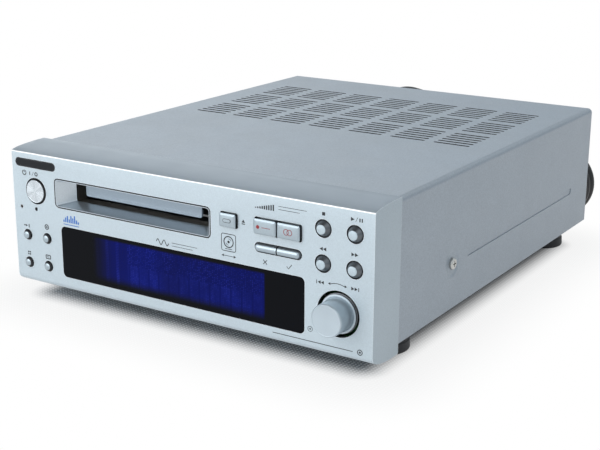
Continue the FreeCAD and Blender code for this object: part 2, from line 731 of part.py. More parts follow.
# ---------------------------------------------------------------- keys
def stem(x, z):
    """Round stem from a key's flange to just clear of its switch at full travel."""
    return rod_y(STEM_R, x, z, KEY_FLANGE_Y, STEM_END)


def power_button():
    """Round cap with a broad chamfer and a shallow dish in its face."""
    x, z = POWER_X, POWER_Z
    edge = -POWER_PROUD + POWER_CHAMFER
    cap = rod_y(POWER_R, x, z, edge, KEY_FLANGE_Y)
    nose = cone_y(POWER_R - POWER_CHAMFER, POWER_R, x, z, -POWER_PROUD, edge)
    flange = rod_y(POWER_R + KEY_GAP + KEY_LIP, x, z, KEY_FLANGE_Y, KEY_FLANGE_Y1)
    dish = Part.makeSphere(POWER_DISH_R, V(x, POWER_DISH - POWER_PROUD - POWER_DISH_R, z))
    return joined([cap, nose, flange, stem(x, z)]).cut(dish)


def dome_button(x, z):
    """Small button with a domed end."""
    radius = (DOME_R**2 + DOME_PROUD**2) / (2 * DOME_PROUD)
    ball = Part.makeSphere(radius, V(x, radius - DOME_PROUD, z))
    dome = ball.common(rod_y(DOME_R, x, z, -DOME_PROUD - OVER, SINK))
    barrel = rod_y(DOME_R, x, z, 0.0, KEY_FLANGE_Y)
    flange = rod_y(DOME_R + KEY_GAP + KEY_LIP, x, z, KEY_FLANGE_Y, KEY_FLANGE_Y1)
    return joined([dome, barrel, flange, stem(x, z)])


def transport_button(x, z):
    """Key shaped as a cone frustum."""
    base_r = TRANSPORT_HOLE_R - KEY_GAP
    barrel = rod_y(base_r, x, z, 0.0, KEY_FLANGE_Y)
    cone = cone_y(TRANSPORT_FACE_R, base_r, x, z, -KEY_PROUD, 0.0)
    flange = rod_y(TRANSPORT_HOLE_R + KEY_LIP, x, z, KEY_FLANGE_Y, KEY_FLANGE_Y1)
    return joined([barrel, cone, flange, stem(x, z)])


def bevelled_cap(x, z, w, h):
    """Rectangular cap about a centre, whose front edges are bevelled."""
    body = key_plate(x, z, w, h, KEY_ROUND - KEY_GAP / 2, -KEY_PROUD, KEY_FLANGE_Y)
    rim = [e for e in body.Edges if e.CenterOfMass.y < -KEY_PROUD + 0.01]
    return body.makeChamfer(KEY_BEVEL, rim)


def eject_button():
    """Square key with a finger bar across its face."""
    cap = bevelled_cap(EJECT_X, KEY_Z, EJECT_W - 2 * KEY_GAP, EJECT_H - 2 * KEY_GAP)
    bar_w, bar_h, bar_depth = 3.4, 1.4, 0.35
    bar = key_plate(EJECT_X, KEY_Z, bar_w, bar_h, bar_h / 2, -KEY_PROUD - OVER, bar_depth - KEY_PROUD)
    w, h = EJECT_W + 2 * KEY_LIP, EJECT_H + 2 * KEY_LIP
    flange = key_plate(EJECT_X, KEY_Z, w, h, KEY_ROUND, KEY_FLANGE_Y, KEY_FLANGE_Y1)
    return joined([cap.cut(bar), flange, stem(EJECT_X, KEY_Z)])


def pair_span(side):
    """Ends of one key of a pair, (inner, outer); side is -1 for the left one and 1 for the right one."""
    return PAIR_X + side * SPLIT / 2, PAIR_X + side * (PAIR_W / 2 - KEY_GAP)


def pair_flange(side, z, h):
    """Flange behind one key of a pair, whose opening is h high."""
    inner, outer = pair_span(side)
    f0, f1 = sorted((inner, outer + side * (KEY_GAP + KEY_LIP)))
    reach = h / 2 + KEY_LIP
    return plate_y(f0, f1, z - reach, z + reach, KEY_ROUND, KEY_FLANGE_Y, KEY_FLANGE_Y1)


def record_key(side):
    """One key of the record pair."""
    inner, outer = pair_span(side)
    middle = (inner + outer) / 2
    cap = bevelled_cap(middle, KEY_Z, abs(outer - inner), PAIR_H - 2 * KEY_GAP)
    return joined([cap, pair_flange(side, KEY_Z, PAIR_H), stem(middle, KEY_Z)])


def pill_key(side):
    """One half of the pill-shaped pair: a half-round bar with a round outer end."""
    h = PILL_H - 2 * KEY_GAP
    inner, outer = pair_span(side)
    x0, x1 = sorted((inner, outer))
    radius = (h**2 / 4 + PILL_PROUD**2) / (2 * PILL_PROUD)
    end = outer - side * h / 2
    bar = rod_x(radius, radius - PILL_PROUD, PILL_Z, min(inner, end), max(inner, end))
    ball = Part.makeSphere(radius, V(end, radius - PILL_PROUD, PILL_Z))
    outline = key_plate(PAIR_X, PILL_Z, PAIR_W - 2 * KEY_GAP, h, h / 2, -PILL_PROUD - OVER, KEY_FLANGE_Y)
    base = outline.common(block(x0, x1, 0, KEY_FLANGE_Y, PILL_Z - h, PILL_Z + h))
    front = outline.common(block(x0, x1, -PILL_PROUD - OVER, SINK, PILL_Z - h, PILL_Z + h))
    crown = joined([bar, ball]).common(front)
    return joined([base, crown, pair_flange(side, PILL_Z, PILL_H), stem((x0 + x1) / 2, PILL_Z)])


def standby_lamp():
    """Small lamp whose lens shows in its hole."""
    lens_play, lens_back, body_r = 0.05, 4.5, 1.4
    lens = rod_y(LAMP_R - lens_play, LEFT + LAMP_X, LAMP_Z, lens_play, lens_back)
    body = rod_y(body_r, LEFT + LAMP_X, LAMP_Z, KEY_FLANGE_Y, BOARD_Y)
    return joined([lens, body])


# ---------------------------------------------------------------- jog dial
def jog_knob():
    """Turned dial: a skirt, a tapered grip, a bevelled and slightly dished face, bored for its shaft."""
    x, z = TRANSPORT_X, JOG_Z
    skirt_y, shoulder_y, grip_y = -1.2, -2.2, -KNOB_PROUD + KNOB_BEVEL
    grip_r = JOG_FACE_R + 0.15 * (JOG_SKIRT_R - JOG_FACE_R)
    foot_r = JOG_FACE_R + 0.6 * (JOG_SKIRT_R - JOG_FACE_R)
    pieces = [
        rod_y(JOG_SKIRT_R, x, z, skirt_y, -skirt_y),
        cone_y(foot_r, JOG_SKIRT_R, x, z, shoulder_y, skirt_y),
        cone_y(grip_r, foot_r, x, z, grip_y, shoulder_y),
        cone_y(grip_r - KNOB_BEVEL, grip_r, x, z, -KNOB_PROUD, grip_y),
    ]
    dish = Part.makeSphere(KNOB_DISH_R, V(x, KNOB_DISH - KNOB_PROUD - KNOB_DISH_R, z))
    bore = rod_y(SHAFT_R, x, z, -KNOB_PROUD + SHAFT_IN, -skirt_y + OVER)
    return joined(pieces).cut([dish, bore])


def jog_shaft():
    """Shaft pressed into the dial and turning in the encoder's sleeve."""
    return rod_y(SHAFT_R, TRANSPORT_X, JOG_Z, -KNOB_PROUD + SHAFT_IN, SLEEVE_FLOOR_Y - PIVOT_END_GAP)


def encoder_sleeve():
    """Sleeve that carries the shaft and slides when the dial is pushed."""
    x, z = TRANSPORT_X, JOG_Z
    sleeve = rod_y(SLEEVE_R, x, z, SLEEVE_Y, BOARD_Y - SLEEVE_REAR)
    return sleeve.cut(rod_y(SHAFT_R + RUN, x, z, SLEEVE_Y - OVER, SLEEVE_FLOOR_Y))


def encoder_body():
    """Encoder housing on the front board, bored for the sliding sleeve."""
    x, z = TRANSPORT_X, JOG_Z
    corner, floor = 1.0, SLEEVE_REAR - TRAVEL - 0.4
    body = key_plate(x, z, ENCODER_W, ENCODER_W, corner, BOARD_Y - ENCODER_D, BOARD_Y)
    return body.cut(rod_y(SLEEVE_R + RUN, x, z, BOARD_Y - ENCODER_D - OVER, BOARD_Y - floor))


# ---------------------------------------------------------------- front board
def switch_places():
    """Centres of the tact switches, one behind each key."""
    places = [(POWER_X, POWER_Z), (EJECT_X, KEY_Z)]
    quarter = (PAIR_W / 2 - KEY_GAP + SPLIT / 2) / 2
    places += [(PAIR_X - quarter, KEY_Z), (PAIR_X + quarter, KEY_Z)]
    places += [(PAIR_X - quarter, PILL_Z), (PAIR_X + quarter, PILL_Z)]
    places += list(dome_places().values())
    places += list(transport_places().values())
    return places


def tact_switches():
    """Square switch bodies with round plungers, all on the front board."""
    half = SWITCH_W / 2
    front = SWITCH_TIP + PLUNGER_L
    bodies = []
    for x, z in switch_places():
        body = block(x - half, x + half, front, BOARD_Y, z - half, z + half)
        bodies.append(joined([body, rod_y(PLUNGER_R, x, z, SWITCH_TIP, front + SINK)]))
    return Part.makeCompound(bodies)


def front_board():
    """Board behind the whole face, cut away for the disc slot and the mechanism."""
    top_gap, slot_room = 5.0, 4.0
    x0, x1 = LEFT + BOARD_MARGIN, RIGHT - BOARD_MARGIN
    board = block(x0, x1, BOARD_Y, BOARD_BACK, BOARD_Z0, PANEL_H - top_gap)
    slot = block(
        TUNNEL_X0 - TUNNEL_WALL - slot_room,
        MECH_X + SLIDER_X + SLIDER_T + slot_room,
        BOARD_Y - OVER,
        BOARD_BACK + OVER,
        SLIDER_Z0 - slot_room,
        PANEL_H,
    )
    hole_r = BOARD_SCREW_R + HOLE_PLAY / 2
    holes = [rod_y(hole_r, x, z, BOARD_Y - OVER, BOARD_BACK + OVER) for x, z in board_screw_places()]
    return board.cut([slot] + holes)


def board_screw_places():
    """Screws that hold the front board to the panel's bosses."""
    margin = BOARD_MARGIN + BOARD_SCREW_IN
    return [
        (LEFT + margin, PANEL_H - 2 * BOARD_SCREW_IN - 1.0),
        (TRANSPORT_X, TRANSPORT_Z),
        (LEFT + margin, DOME_Z),
        (RIGHT - margin, BOARD_Z0 + BOARD_SCREW_IN),
    ]


def panel_bosses():
    """Bosses from the panel's back to the front board, bored for the board's screws."""
    bosses = []
    for x, z in board_screw_places():
        boss = rod_y(BOSS_R, x, z, PANEL_WALL - SINK, BOARD_Y)
        bore = rod_y(BOARD_SCREW_R + SCREW_PLAY, x, z, PANEL_WALL + OVER, BOARD_Y + OVER)
        bosses.append(boss.cut(bore))
    return bosses


def display_tube():
    """Glass display tube with legs that reach the front board."""
    x = (DISPLAY_X0 + DISPLAY_X1) / 2
    z = DISPLAY_Z + DISPLAY_H / 2
    y0 = PANEL_WALL + TUBE_GAP
    y1 = y0 + TUBE_T
    tube = block(x - TUBE_W / 2, x + TUBE_W / 2, y0, y1, z - TUBE_H / 2, z + TUBE_H / 2)
    legs = []
    for step in (-1, 0, 1):
        x0 = x + step * TUBE_LEG_PITCH - TUBE_LEG_W / 2
        legs.append(block(x0, x0 + TUBE_LEG_W, y1 - SINK, BOARD_Y, z - TUBE_LEG_H / 2, z + TUBE_LEG_H / 2))
    return joined([tube] + legs)


# ---------------------------------------------------------------- case
def cover_section(outset, z0):
    """Outline of the folded cover in the XZ plane, with round top corners."""
    half = COVER_X - outset
    top = COVER_TOP - outset
    r = COVER_BEND - outset
    k = r * (1 - math.sqrt(0.5))
    points = [V(-half, 0, z0), V(-half, 0, top - r), V(-half + r, 0, top)]
    edges = [
        Part.LineSegment(points[0], points[1]).toShape(),
        Part.Arc(points[1], V(-half + k, 0, top - k), points[2]).toShape(),
        Part.LineSegment(points[2], V(half - r, 0, top)).toShape(),
        Part.Arc(V(half - r, 0, top), V(half - k, 0, top - k), V(half, 0, top - r)).toShape(),
        Part.LineSegment(V(half, 0, top - r), V(half, 0, z0)).toShape(),
        Part.LineSegment(V(half, 0, z0), points[0]).toShape(),
    ]
    return Part.Face(Part.Wire(edges))


def vent_slots():
    """Cutters for the round-ended slots in the cover's top."""
    cutters = []
    run = (VENT_SLOTS - 1) * VENT_SLOT_PITCH
    last = BODY_D - VENT_REAR_MARGIN
    half_l, half_w = VENT_SLOT_L / 2, VENT_SLOT_W / 2
    z0, z1 = COVER_TOP - COVER_T - OVER, COVER_TOP + OVER
    for row in range(VENT_ROWS):
        for slot in range(VENT_SLOTS):
            y = last - row * VENT_ROW_PITCH - run + slot * VENT_SLOT_PITCH
            for column in range(VENT_COLUMNS):
                x = (column - (VENT_COLUMNS - 1) / 2) * VENT_COLUMN_PITCH
                cutters.append(plate_z(x - half_l, x + half_l, y - half_w, y + half_w, half_w, z0, z1))
    return cutters


def tab_places():
    """Middles of the cover's three rear tabs."""
    return [-COVER_X + TAB_INSET, 0.0, COVER_X - TAB_INSET]


def side_cuts(side):
    """Pressed bead, screw dimple and screw hole of one side of the cover, as cutters."""
    x = side * COVER_X
    x0, x1 = sorted((x - side * BEAD_DEPTH, x + side * OVER))
    z0, z1 = BEAD_Z, BEAD_Z + BEAD_H
    bead = rounded_wire(BEAD_START, BEAD_END, z0, z1, BEAD_H / 2, lambda a, b: V(x0, a, b))
    centre = V(x, SIDE_SCREW_Y, SIDE_SCREW_Z)
    floor_r = DIMPLE_R - DIMPLE_SLOPE
    hole = sorted((x, x - side * (COVER_T + OVER)))
    return [
        Part.Face(bead).extrude(V(x1 - x0, 0, 0)),
        Part.makeCone(DIMPLE_R, floor_r, BEAD_DEPTH, centre, V(-side, 0, 0)),
        rod_x(CASE_SCREW_R + HOLE_PLAY, SIDE_SCREW_Y, SIDE_SCREW_Z, *hole),
    ]


def top_cover():
    """Folded sheet with vents, side screw dimples, pressed side beads and three rear tabs."""
    depth = BODY_D - COVER_Y0
    shell = cover_section(0, COVER_SKIRT).extrude(V(0, depth, 0))
    hollow = cover_section(COVER_T, COVER_SKIRT - OVER).extrude(V(0, depth + 2 * OVER, 0))
    shell.translate(V(0, COVER_Y0, 0))
    hollow.translate(V(0, COVER_Y0 - OVER, 0))
    cover = shell.cut(hollow)
    tabs = []
    tab_y = REAR_Y + 0.1
    corner = 1.0
    for x in tab_places():
        x0, x1 = x - TAB_W / 2, x + TAB_W / 2
        tab = plate_y(x0, x1, COVER_TOP - TAB_H, COVER_TOP - COVER_T / 4, corner, tab_y, BODY_D)
        hole = rod_y(CASE_SCREW_R + HOLE_PLAY, x, TAB_SCREW_Z, REAR_Y, BODY_D + OVER)
        tabs.append(tab.cut(hole))
    return joined([cover.cut(vent_slots() + side_cuts(-1) + side_cuts(1))] + tabs)


def main_board_corners():
    """Screw places of the main board; the rear ones stand in front of the sockets."""
    rear_room = 14.0
    xs = (MAIN_X0 + MAIN_SCREW_IN, MAIN_X1 - MAIN_SCREW_IN)
    ys = (MAIN_Y0 + MAIN_SCREW_IN, MAIN_Y1 - rear_room)
    return [(x, y) for x in xs for y in ys]


def post_places():
    """Posts that carry the disc mechanism."""
    reach = HOLDER_W / 2 - 1.0
    margin = 6.0
    ys = (HOLDER_Y + margin, LUG_REAR - 7.2)
    return [(MECH_X + s * reach, y) for s in (-1, 1) for y in ys]


def foot_places():
    """Feet as (x, y, radius)."""
    x = RIGHT - FOOT_INSET
    return [(s * x, y, FOOT_R) for y in (FRONT_FOOT_Y, REAR_Y - REAR_FOOT_BACK) for s in (-1, 1)]


def chassis_base():
    """Floor tray with two side flanges, a tongue into the panel and standoffs for the main board."""
    y0 = COVER_Y0 + 1.0
    tongue_in, tongue_y0, tongue_step = 6.0, PANEL_D - 8.0, 0.3
    floor = block(-FLANGE_X, FLANGE_X, y0, REAR_Y, CHASSIS_Z, CHASSIS_TOP)
    tongue_x = RIGHT - tongue_in
    tongue = block(-tongue_x, tongue_x, tongue_y0, y0 + SINK, CHASSIS_Z + tongue_step, CHASSIS_TOP)
    pieces = [floor, tongue]
    for side in (-1, 1):
        x0, x1 = sorted((side * FLANGE_X, side * (FLANGE_X - CHASSIS_T)))
        pieces.append(block(x0, x1, y0, REAR_IN - FIT, CHASSIS_Z, CHASSIS_Z + CHASSIS_FLANGE_H))
    pieces += [rod_z(STANDOFF_R, x, y, CHASSIS_Z + SINK, MAIN_Z) for x, y in main_board_corners()]
    bite = SCREW_R + SCREW_PLAY
    cuts = [rod_z(bite, x, y, CHASSIS_TOP + 1.0, MAIN_Z + OVER) for x, y in main_board_corners()]
    side_hole = CASE_SCREW_R + SCREW_PLAY
    cuts.append(rod_x(side_hole, SIDE_SCREW_Y, SIDE_SCREW_Z, -FLANGE_X - OVER, FLANGE_X + OVER))
    stud_hole = FOOT_STUD_R + SCREW_PLAY
    cuts += [rod_z(stud_hole, x, y, CHASSIS_Z - OVER, CHASSIS_TOP + OVER) for x, y, r in foot_places()]
    return joined(pieces).cut(cuts)


def rear_panel():
    """Flat plate with jack, optical and cord openings, vents and a folded foot."""
    y0, y1 = REAR_IN - OVER, REAR_Y + OVER
    plate = plate_y(
        -FLANGE_X, FLANGE_X, CHASSIS_TOP, COVER_TOP - COVER_T - FIT, COVER_BEND, REAR_IN, REAR_Y
    )
    foot_in, foot_d = 8.0, 7.0
    foot_x = FLANGE_X - foot_in
    foot = block(-foot_x, foot_x, REAR_IN - foot_d, REAR_IN + SINK, CHASSIS_TOP, CHASSIS_TOP + REAR_T)
    cuts = [rod_y(JACK_R + HOLE_PLAY, x, z, y0, y1) for x, z in jack_places()]
    optical = OPTICAL_W + 2 * FIT
    cuts += [key_plate(x, z, optical, optical, 0.5, y0, y1) for x, z in optical_places()]
    cuts.append(rod_y(RELIEF_NECK_R + SCREW_PLAY, CORD_EXIT.x, CORD_EXIT.z, y0, y1))
    cuts += [rod_y(CASE_SCREW_R + SCREW_PLAY, x, TAB_SCREW_Z, y0, y1) for x in tab_places()]
    half = REAR_VENT_W / 2
    for i in range(REAR_VENTS):
        x = CORD_EXIT.x + (i - (REAR_VENTS - 1) / 2) * REAR_VENT_PITCH
        cuts.append(plate_y(x - half, x + half, REAR_VENT_Z0, REAR_VENT_Z1, half, y0, y1))
    return joined([plate, foot]).cut(cuts)


def feet():
    """Four round feet: a stud through the chassis, a tapered body and a rounded lower rim."""
    shapes = []
    down = V(0, 0, -1)
    for x, y, r in foot_places():
        base = V(x, y, FLOOR)
        body = Part.makeCone(r, r - FOOT_TAPER, CHASSIS_Z - FLOOR, base, V(0, 0, 1))
        body = body.makeFillet(FOOT_ROUND, circles_at(body, base, down, 0))
        stud = rod_z(FOOT_STUD_R, x, y, CHASSIS_Z - SINK, CHASSIS_TOP + FOOT_STUD_UP)
        recess = rod_z(r * FOOT_RECESS_SHARE, x, y, FLOOR - OVER, FLOOR + FOOT_RECESS)
        shapes.append(joined([body, stud]).cut(recess))
    return Part.makeCompound(shapes)


def case_screws():
    """Pan-head screws in the cover's two sides and three rear tabs."""
    size = (CASE_HEAD_R, CASE_HEAD_H, CASE_SCREW_R, CASE_SCREW_L)
    shapes = []
    for side in (-1, 1):
        seat = (side * (COVER_X - BEAD_DEPTH), SIDE_SCREW_Y, SIDE_SCREW_Z)
        shapes.append(pan_screw(seat, (side, 0, 0), *size))
    for x in tab_places():
        shapes.append(pan_screw((x, BODY_D, TAB_SCREW_Z), (0, 1, 0), *size))
    return Part.makeCompound(shapes)


# ---------------------------------------------------------------- electronics
def main_board():
    """Board on its standoffs behind the disc mechanism."""
    board = block(MAIN_X0, MAIN_X1, MAIN_Y0, MAIN_Y1, MAIN_Z, MAIN_TOP)
    hole_r = SCREW_R + SCREW_PLAY
    return board.cut([rod_z(hole_r, x, y, MAIN_Z - OVER, MAIN_TOP + OVER) for x, y in main_board_corners()])


def board_screws():
    """Screws of the main board, the front board and the mechanism."""
    up, back = (0, 0, 1), (0, 1, 0)
    head_r, small_head_r = 2.6, 2.2
    shapes = [pan_screw((x, y, MAIN_TOP), up, head_r, 1.7, SCREW_R, 5.0) for x, y in main_board_corners()]
    for x, z in board_screw_places():
        shapes.append(pan_screw((x, BOARD_BACK, z), back, small_head_r, 1.5, BOARD_SCREW_R, 7.0))
    shapes += [pan_screw((x, y, DECK_TOP), up, head_r, 0.8, SCREW_R, 6.0) for x, y in post_places()]
    return Part.makeCompound(shapes)


def on_board(across, along):
    """Point of the main board, as shares of its width and depth."""
    return MAIN_X0 + across * (MAIN_X1 - MAIN_X0), MAIN_Y0 + along * (MAIN_Y1 - MAIN_Y0)


def chips():
    """Flat packages on the main board and three tabbed regulators against the heat sink."""
    shapes = []
    for across, along, w, d, h in (
        (0.68, 0.28, 24, 24, 2.4),
        (0.44, 0.24, 18, 18, 2.2),
        (0.89, 0.57, 12, 18, 2.4),
        (0.68, 0.57, 10, 14, 2.0),
        (0.51, 0.48, 8, 12, 1.8),
    ):
        x, y = on_board(across, along)
        shapes.append(block(x - w / 2, x + w / 2, y - d / 2, y + d / 2, MAIN_TOP, MAIN_TOP + h))
    half_w, depth, leg_r, leg_pitch = 5.0, 4.5, 0.5, 2.5
    z0, z1 = MAIN_TOP + 4.0, MAIN_TOP + 19.0
    for i in (-1, 0, 1):
        x = HEAT_X + i * REGULATOR_PITCH
        body = block(x - half_w, x + half_w, HEAT_Y - depth, HEAT_Y, z0, z1)
        y = HEAT_Y - depth / 2
        legs = [rod_z(leg_r, x + step * leg_pitch, y, MAIN_TOP, z0 + SINK) for step in (-1, 0, 1)]
        shapes.append(joined([body] + legs))
    return Part.makeCompound(shapes)


def capacitors():
    """Round cans on the main board: two large, the rest small."""
    shapes = []
    up, edge_r = V(0, 0, 1), 0.8
    for across, along, r, h in (
        (0.10, 0.355, 9, 30),
        (0.27, 0.355, 9, 30),
        (0.092, 0.55, 6.3, 20),
        (0.215, 0.55, 5, 16),
        (0.34, 0.55, 5, 16),
        (0.81, 0.107, 4, 11),
        (0.905, 0.125, 4, 11),
        (0.92, 0.267, 3.2, 8),
        (0.92, 0.373, 3.2, 8),
        (0.553, 0.674, 3.2, 8),
        (0.752, 0.763, 3.2, 8),
    ):
        x, y = on_board(across, along)
        can = rod_z(r, x, y, MAIN_TOP, MAIN_TOP + h)
        shapes.append(can.makeFillet(edge_r, circles_at(can, V(x, y, MAIN_TOP), up, h)))
    return Part.makeCompound(shapes)


def heat_sink():
    """Finned aluminium extrusion standing on the main board."""
    x0 = HEAT_X - HEAT_W / 2
    z0, z1 = MAIN_TOP, MAIN_TOP + HEAT_H
    y1 = HEAT_Y + HEAT_BASE_T
    pieces = [block(x0, x0 + HEAT_W, HEAT_Y, y1, z0, z1)]
    for i in range(FINS):
        x = x0 + i * (HEAT_W - FIN_T) / (FINS - 1)
        pieces.append(block(x, x + FIN_T, HEAT_Y, y1 + FIN_L, z0, z1))
    return joined(pieces)


def transformer_core():
    """Laminated core with two windows and mounting ears."""
    z0, z1 = CHASSIS_TOP, CHASSIS_TOP + CORE_H
    half_w, half_t = CORE_W / 2, CORE_T / 2
    ear_x, ear_y = half_w + CORE_EAR, half_t - 4.0
    core = block(CORE_X - half_w, CORE_X + half_w, CORE_Y - half_t, CORE_Y + half_t, z0, z1)
    ears = block(CORE_X - ear_x, CORE_X + ear_x, CORE_Y - ear_y, CORE_Y + ear_y, z0, z0 + CORE_EAR_T)
    windows = []
    for side in (-1, 1):
        x0, x1 = sorted((CORE_X + side * CORE_LEG, CORE_X + side * (half_w - CORE_LEG)))
        windows.append(block(x0, x1, CORE_Y - CORE_T, CORE_Y + CORE_T, z0 + CORE_LEG, z1 - CORE_LEG))
    return joined([core, ears]).cut(windows)


def transformer_coil():
    """Winding round the core's middle leg."""
    z0 = CHASSIS_TOP + CORE_LEG + FIT
    z1 = CHASSIS_TOP + CORE_H - CORE_LEG - FIT
    half = CORE_W / 2 - CORE_LEG - FIT
    reach = CORE_T / 2 + COIL_REACH
    corner, slack = 3.0, 0.1
    coil = plate_z(CORE_X - half, CORE_X + half, CORE_Y - reach, CORE_Y + reach, corner, z0, z1)
    leg_x, leg_y = CORE_LEG + slack, CORE_T / 2 + slack
    leg = block(CORE_X - leg_x, CORE_X + leg_x, CORE_Y - leg_y, CORE_Y + leg_y, z0 - OVER, z1 + OVER)
    return coil.cut(leg)


def jack_places():
    """Centres of the four phono jacks."""
    step = JACK_PITCH / 2
    z = MAIN_TOP + JACK_BLOCK_H / 2
    return [(JACK_BLOCK_X + sx * step, z + sz * step) for sx in (-1, 1) for sz in (-1, 1)]


def phono_jacks():
    """Jack block on the main board with four bored barrels through the rear panel."""
    half = JACK_PITCH / 2 + 7.5
    x0, x1 = JACK_BLOCK_X - half, JACK_BLOCK_X + half
    body = block(x0, x1, REAR_IN - JACK_BLOCK_D, REAR_IN, MAIN_TOP, MAIN_TOP + JACK_BLOCK_H)
    end = REAR_Y + JACK_PROUD
    barrels = [rod_y(JACK_R, x, z, REAR_IN - SINK, end) for x, z in jack_places()]
    bores = [rod_y(JACK_BORE_R, x, z, REAR_Y, end + OVER) for x, z in jack_places()]
    return joined([body] + barrels).cut(bores)


def optical_places():
    """Centres of the optical sockets."""
    z = MAIN_TOP + OPTICAL_UP
    x = RIGHT - OPTICAL_X
    return [(x + i * OPTICAL_PITCH, z) for i in (-1, 0)]


def optical_sockets():
    """Square sockets with a shallow shuttered mouth."""
    shapes = []
    half, foot_w, foot_d, depth, corner = OPTICAL_W / 2, 8.0, 6.0, 2.5, 0.8
    front, end = REAR_IN - OPTICAL_D, REAR_Y + OPTICAL_PROUD
    for x, z in optical_places():
        body = block(x - half, x + half, front, end, z - half, z + half)
        foot = block(x - foot_w / 2, x + foot_w / 2, front + 1.0, front + 1.0 + foot_d, MAIN_TOP, z)
        mouth = key_plate(x, z, OPTICAL_MOUTH_W, OPTICAL_MOUTH_W, corner, end - depth, end + OVER)
        shapes.append(joined([body, foot]).cut(mouth))
    return Part.makeCompound(shapes)


def flat_cable(points, x0, x1):
    """Flat cable along a run of (y, z) points, with its upper face a mitred offset of the lower one."""
    normals = []
    for (ya, za), (yb, zb) in zip(points, points[1:]):
        length = math.hypot(yb - ya, zb - za)
        normals.append(((za - zb) / length, (yb - ya) / length))
    upper = []
    for (y, z), before, after in zip(points, normals[:1] + normals, normals + normals[-1:]):
        scale = RIBBON_T / (1 + before[0] * after[0] + before[1] * after[1])
        upper.append((y + (before[0] + after[0]) * scale, z + (before[1] + after[1]) * scale))
    return polygon_x(points + upper[::-1], x0, x1)


def connector(x0, x1, y0, z0):
    """Connector that a flat cable ends in."""
    return block(x0 - 1, x1 + 1, y0, y0 + CONNECTOR_D, z0, z0 + CONNECTOR_H)


def ribbon_cables():
    """Two flat cables: front board to main board, and mechanism to main board."""
    low = CHASSIS_TOP + 1.0
    rise = 4.0
    x0 = MECH_X + SLIDER_X + RIBBON_IN
    x1 = x0 + RIBBON_W
    front_z = low + 6.0
    plug_y = BOARD_BACK + CONNECTOR_D
    y_main = MAIN_Y0 + CONNECTOR_D
    front = [
        (plug_y - 1, front_z + 2),
        (plug_y + 2, front_z + 2),
        (plug_y + 6, low),
        (MAIN_Y0 - 8, low),
        (MAIN_Y0 - 3, MAIN_TOP + rise),
        (y_main + 1, MAIN_TOP + rise),
    ]
    first = joined(
        [
            connector(x0, x1, BOARD_BACK, front_z),
            flat_cable(front, x0, x1),
            connector(x0, x1, y_main, MAIN_TOP),
        ]
    )
    x1 = MECH_X + 8.0
    x0 = x1 - RIBBON_W / 5
    mech_y, mech_z = SLED_MOTOR_Y, DECK_Z - CONNECTOR_H
    y_main = MAIN_Y0 + 11.0
    rear = [
        (mech_y + CONNECTOR_D - 1, mech_z + 2),
        (mech_y + CONNECTOR_D + 4, mech_z + 2),
        (MAIN_Y0 + 8, MAIN_TOP + rise),
        (y_main + 1, MAIN_TOP + rise),
    ]
    second = joined(
        [
            connector(MECH_X - 8, MECH_X + 8, mech_y, mech_z),
            flat_cable(rear, x0, x1),
            connector(x0, x1, y_main, MAIN_TOP),
        ]
    )
    return Part.makeCompound([first, second])


# ---------------------------------------------------------------- disc mechanism
def mech_base():
    """Deck plate with side walls, windows, lugs for rods and screw, and studs for the slider."""
    x, y0, y1 = MECH_X, HOLDER_Y, DECK_Y1
    pieces = [block(x - WALL_OUT, x + WALL_OUT, y0, y1, DECK_Z, DECK_TOP)]
    wall_in, wall_room, wall_up = 2.0, 6.0, 6.5
    for side in (-1, 1):
        a, b = sorted((x + side * WALL_IN, x + side * WALL_OUT))
        pieces.append(block(a, b, y0 + wall_in, HOLDER_Y1 + wall_room, DECK_Z, DISC_Z + wall_up))
        reach = RAIL_X if side > 0 else SCREW_X
        a, b = sorted((x + side * (RAIL_X - LUG_HALF), x + side * (reach + LUG_HALF)))
        for y in (LUG_FRONT, LUG_REAR):
            pieces.append(block(a, b, y, y + LUG_T, RAIL_Z - LUG_HALF, DECK_Z + SINK))
    for y in STUD_YS:
        pieces.append(rod_x(PIN_R, y, STUD_Z, x + WALL_IN, x + PIN_END))
    under, over = DECK_Z - OVER, DECK_TOP + OVER
    window_y1 = SLED_Y1 + SLED_TRAVEL + 3.0
    rail_y0, rail_y1 = LUG_FRONT - OVER, LUG_REAR + LUG_T + OVER
    cuts = [
        rod_z(HUB_R + 2.0, x, SPINDLE_Y, under, over),
        block(x - DECK_WINDOW, x + DECK_WINDOW, SLED_Y0 - SINK, window_y1, under, over),
        rod_y(RAIL_R + RUN, x - SCREW_X, RAIL_Z, rail_y0, rail_y1),
    ]
    cuts += [rod_y(RAIL_R, x + side * RAIL_X, RAIL_Z, rail_y0, rail_y1) for side in (-1, 1)]
    slot_x0, slot_x1 = x - WALL_OUT - OVER, x + WALL_OUT + OVER
    for y in PIN_YS:
        cuts.append(slot_x(PIN_R + PIN_PLAY, (y, DISC_Z), (y, DISC_Z - LOWERING), slot_x0, slot_x1))
    cuts += [rod_z(SCREW_R + SCREW_PLAY, px, py, under, over) for px, py in post_places()]
    return joined(pieces).cut(cuts)


def mech_posts():
    """Posts from the chassis floor to the mechanism's deck."""
    shapes = []
    depth = 7.0
    for x, y in post_places():
        post = rod_z(POST_R, x, y, CHASSIS_TOP, DECK_Z)
        shapes.append(post.cut(rod_z(SCREW_R + SCREW_PLAY, x, y, DECK_Z - depth, DECK_Z + OVER)))
    return Part.makeCompound(shapes)


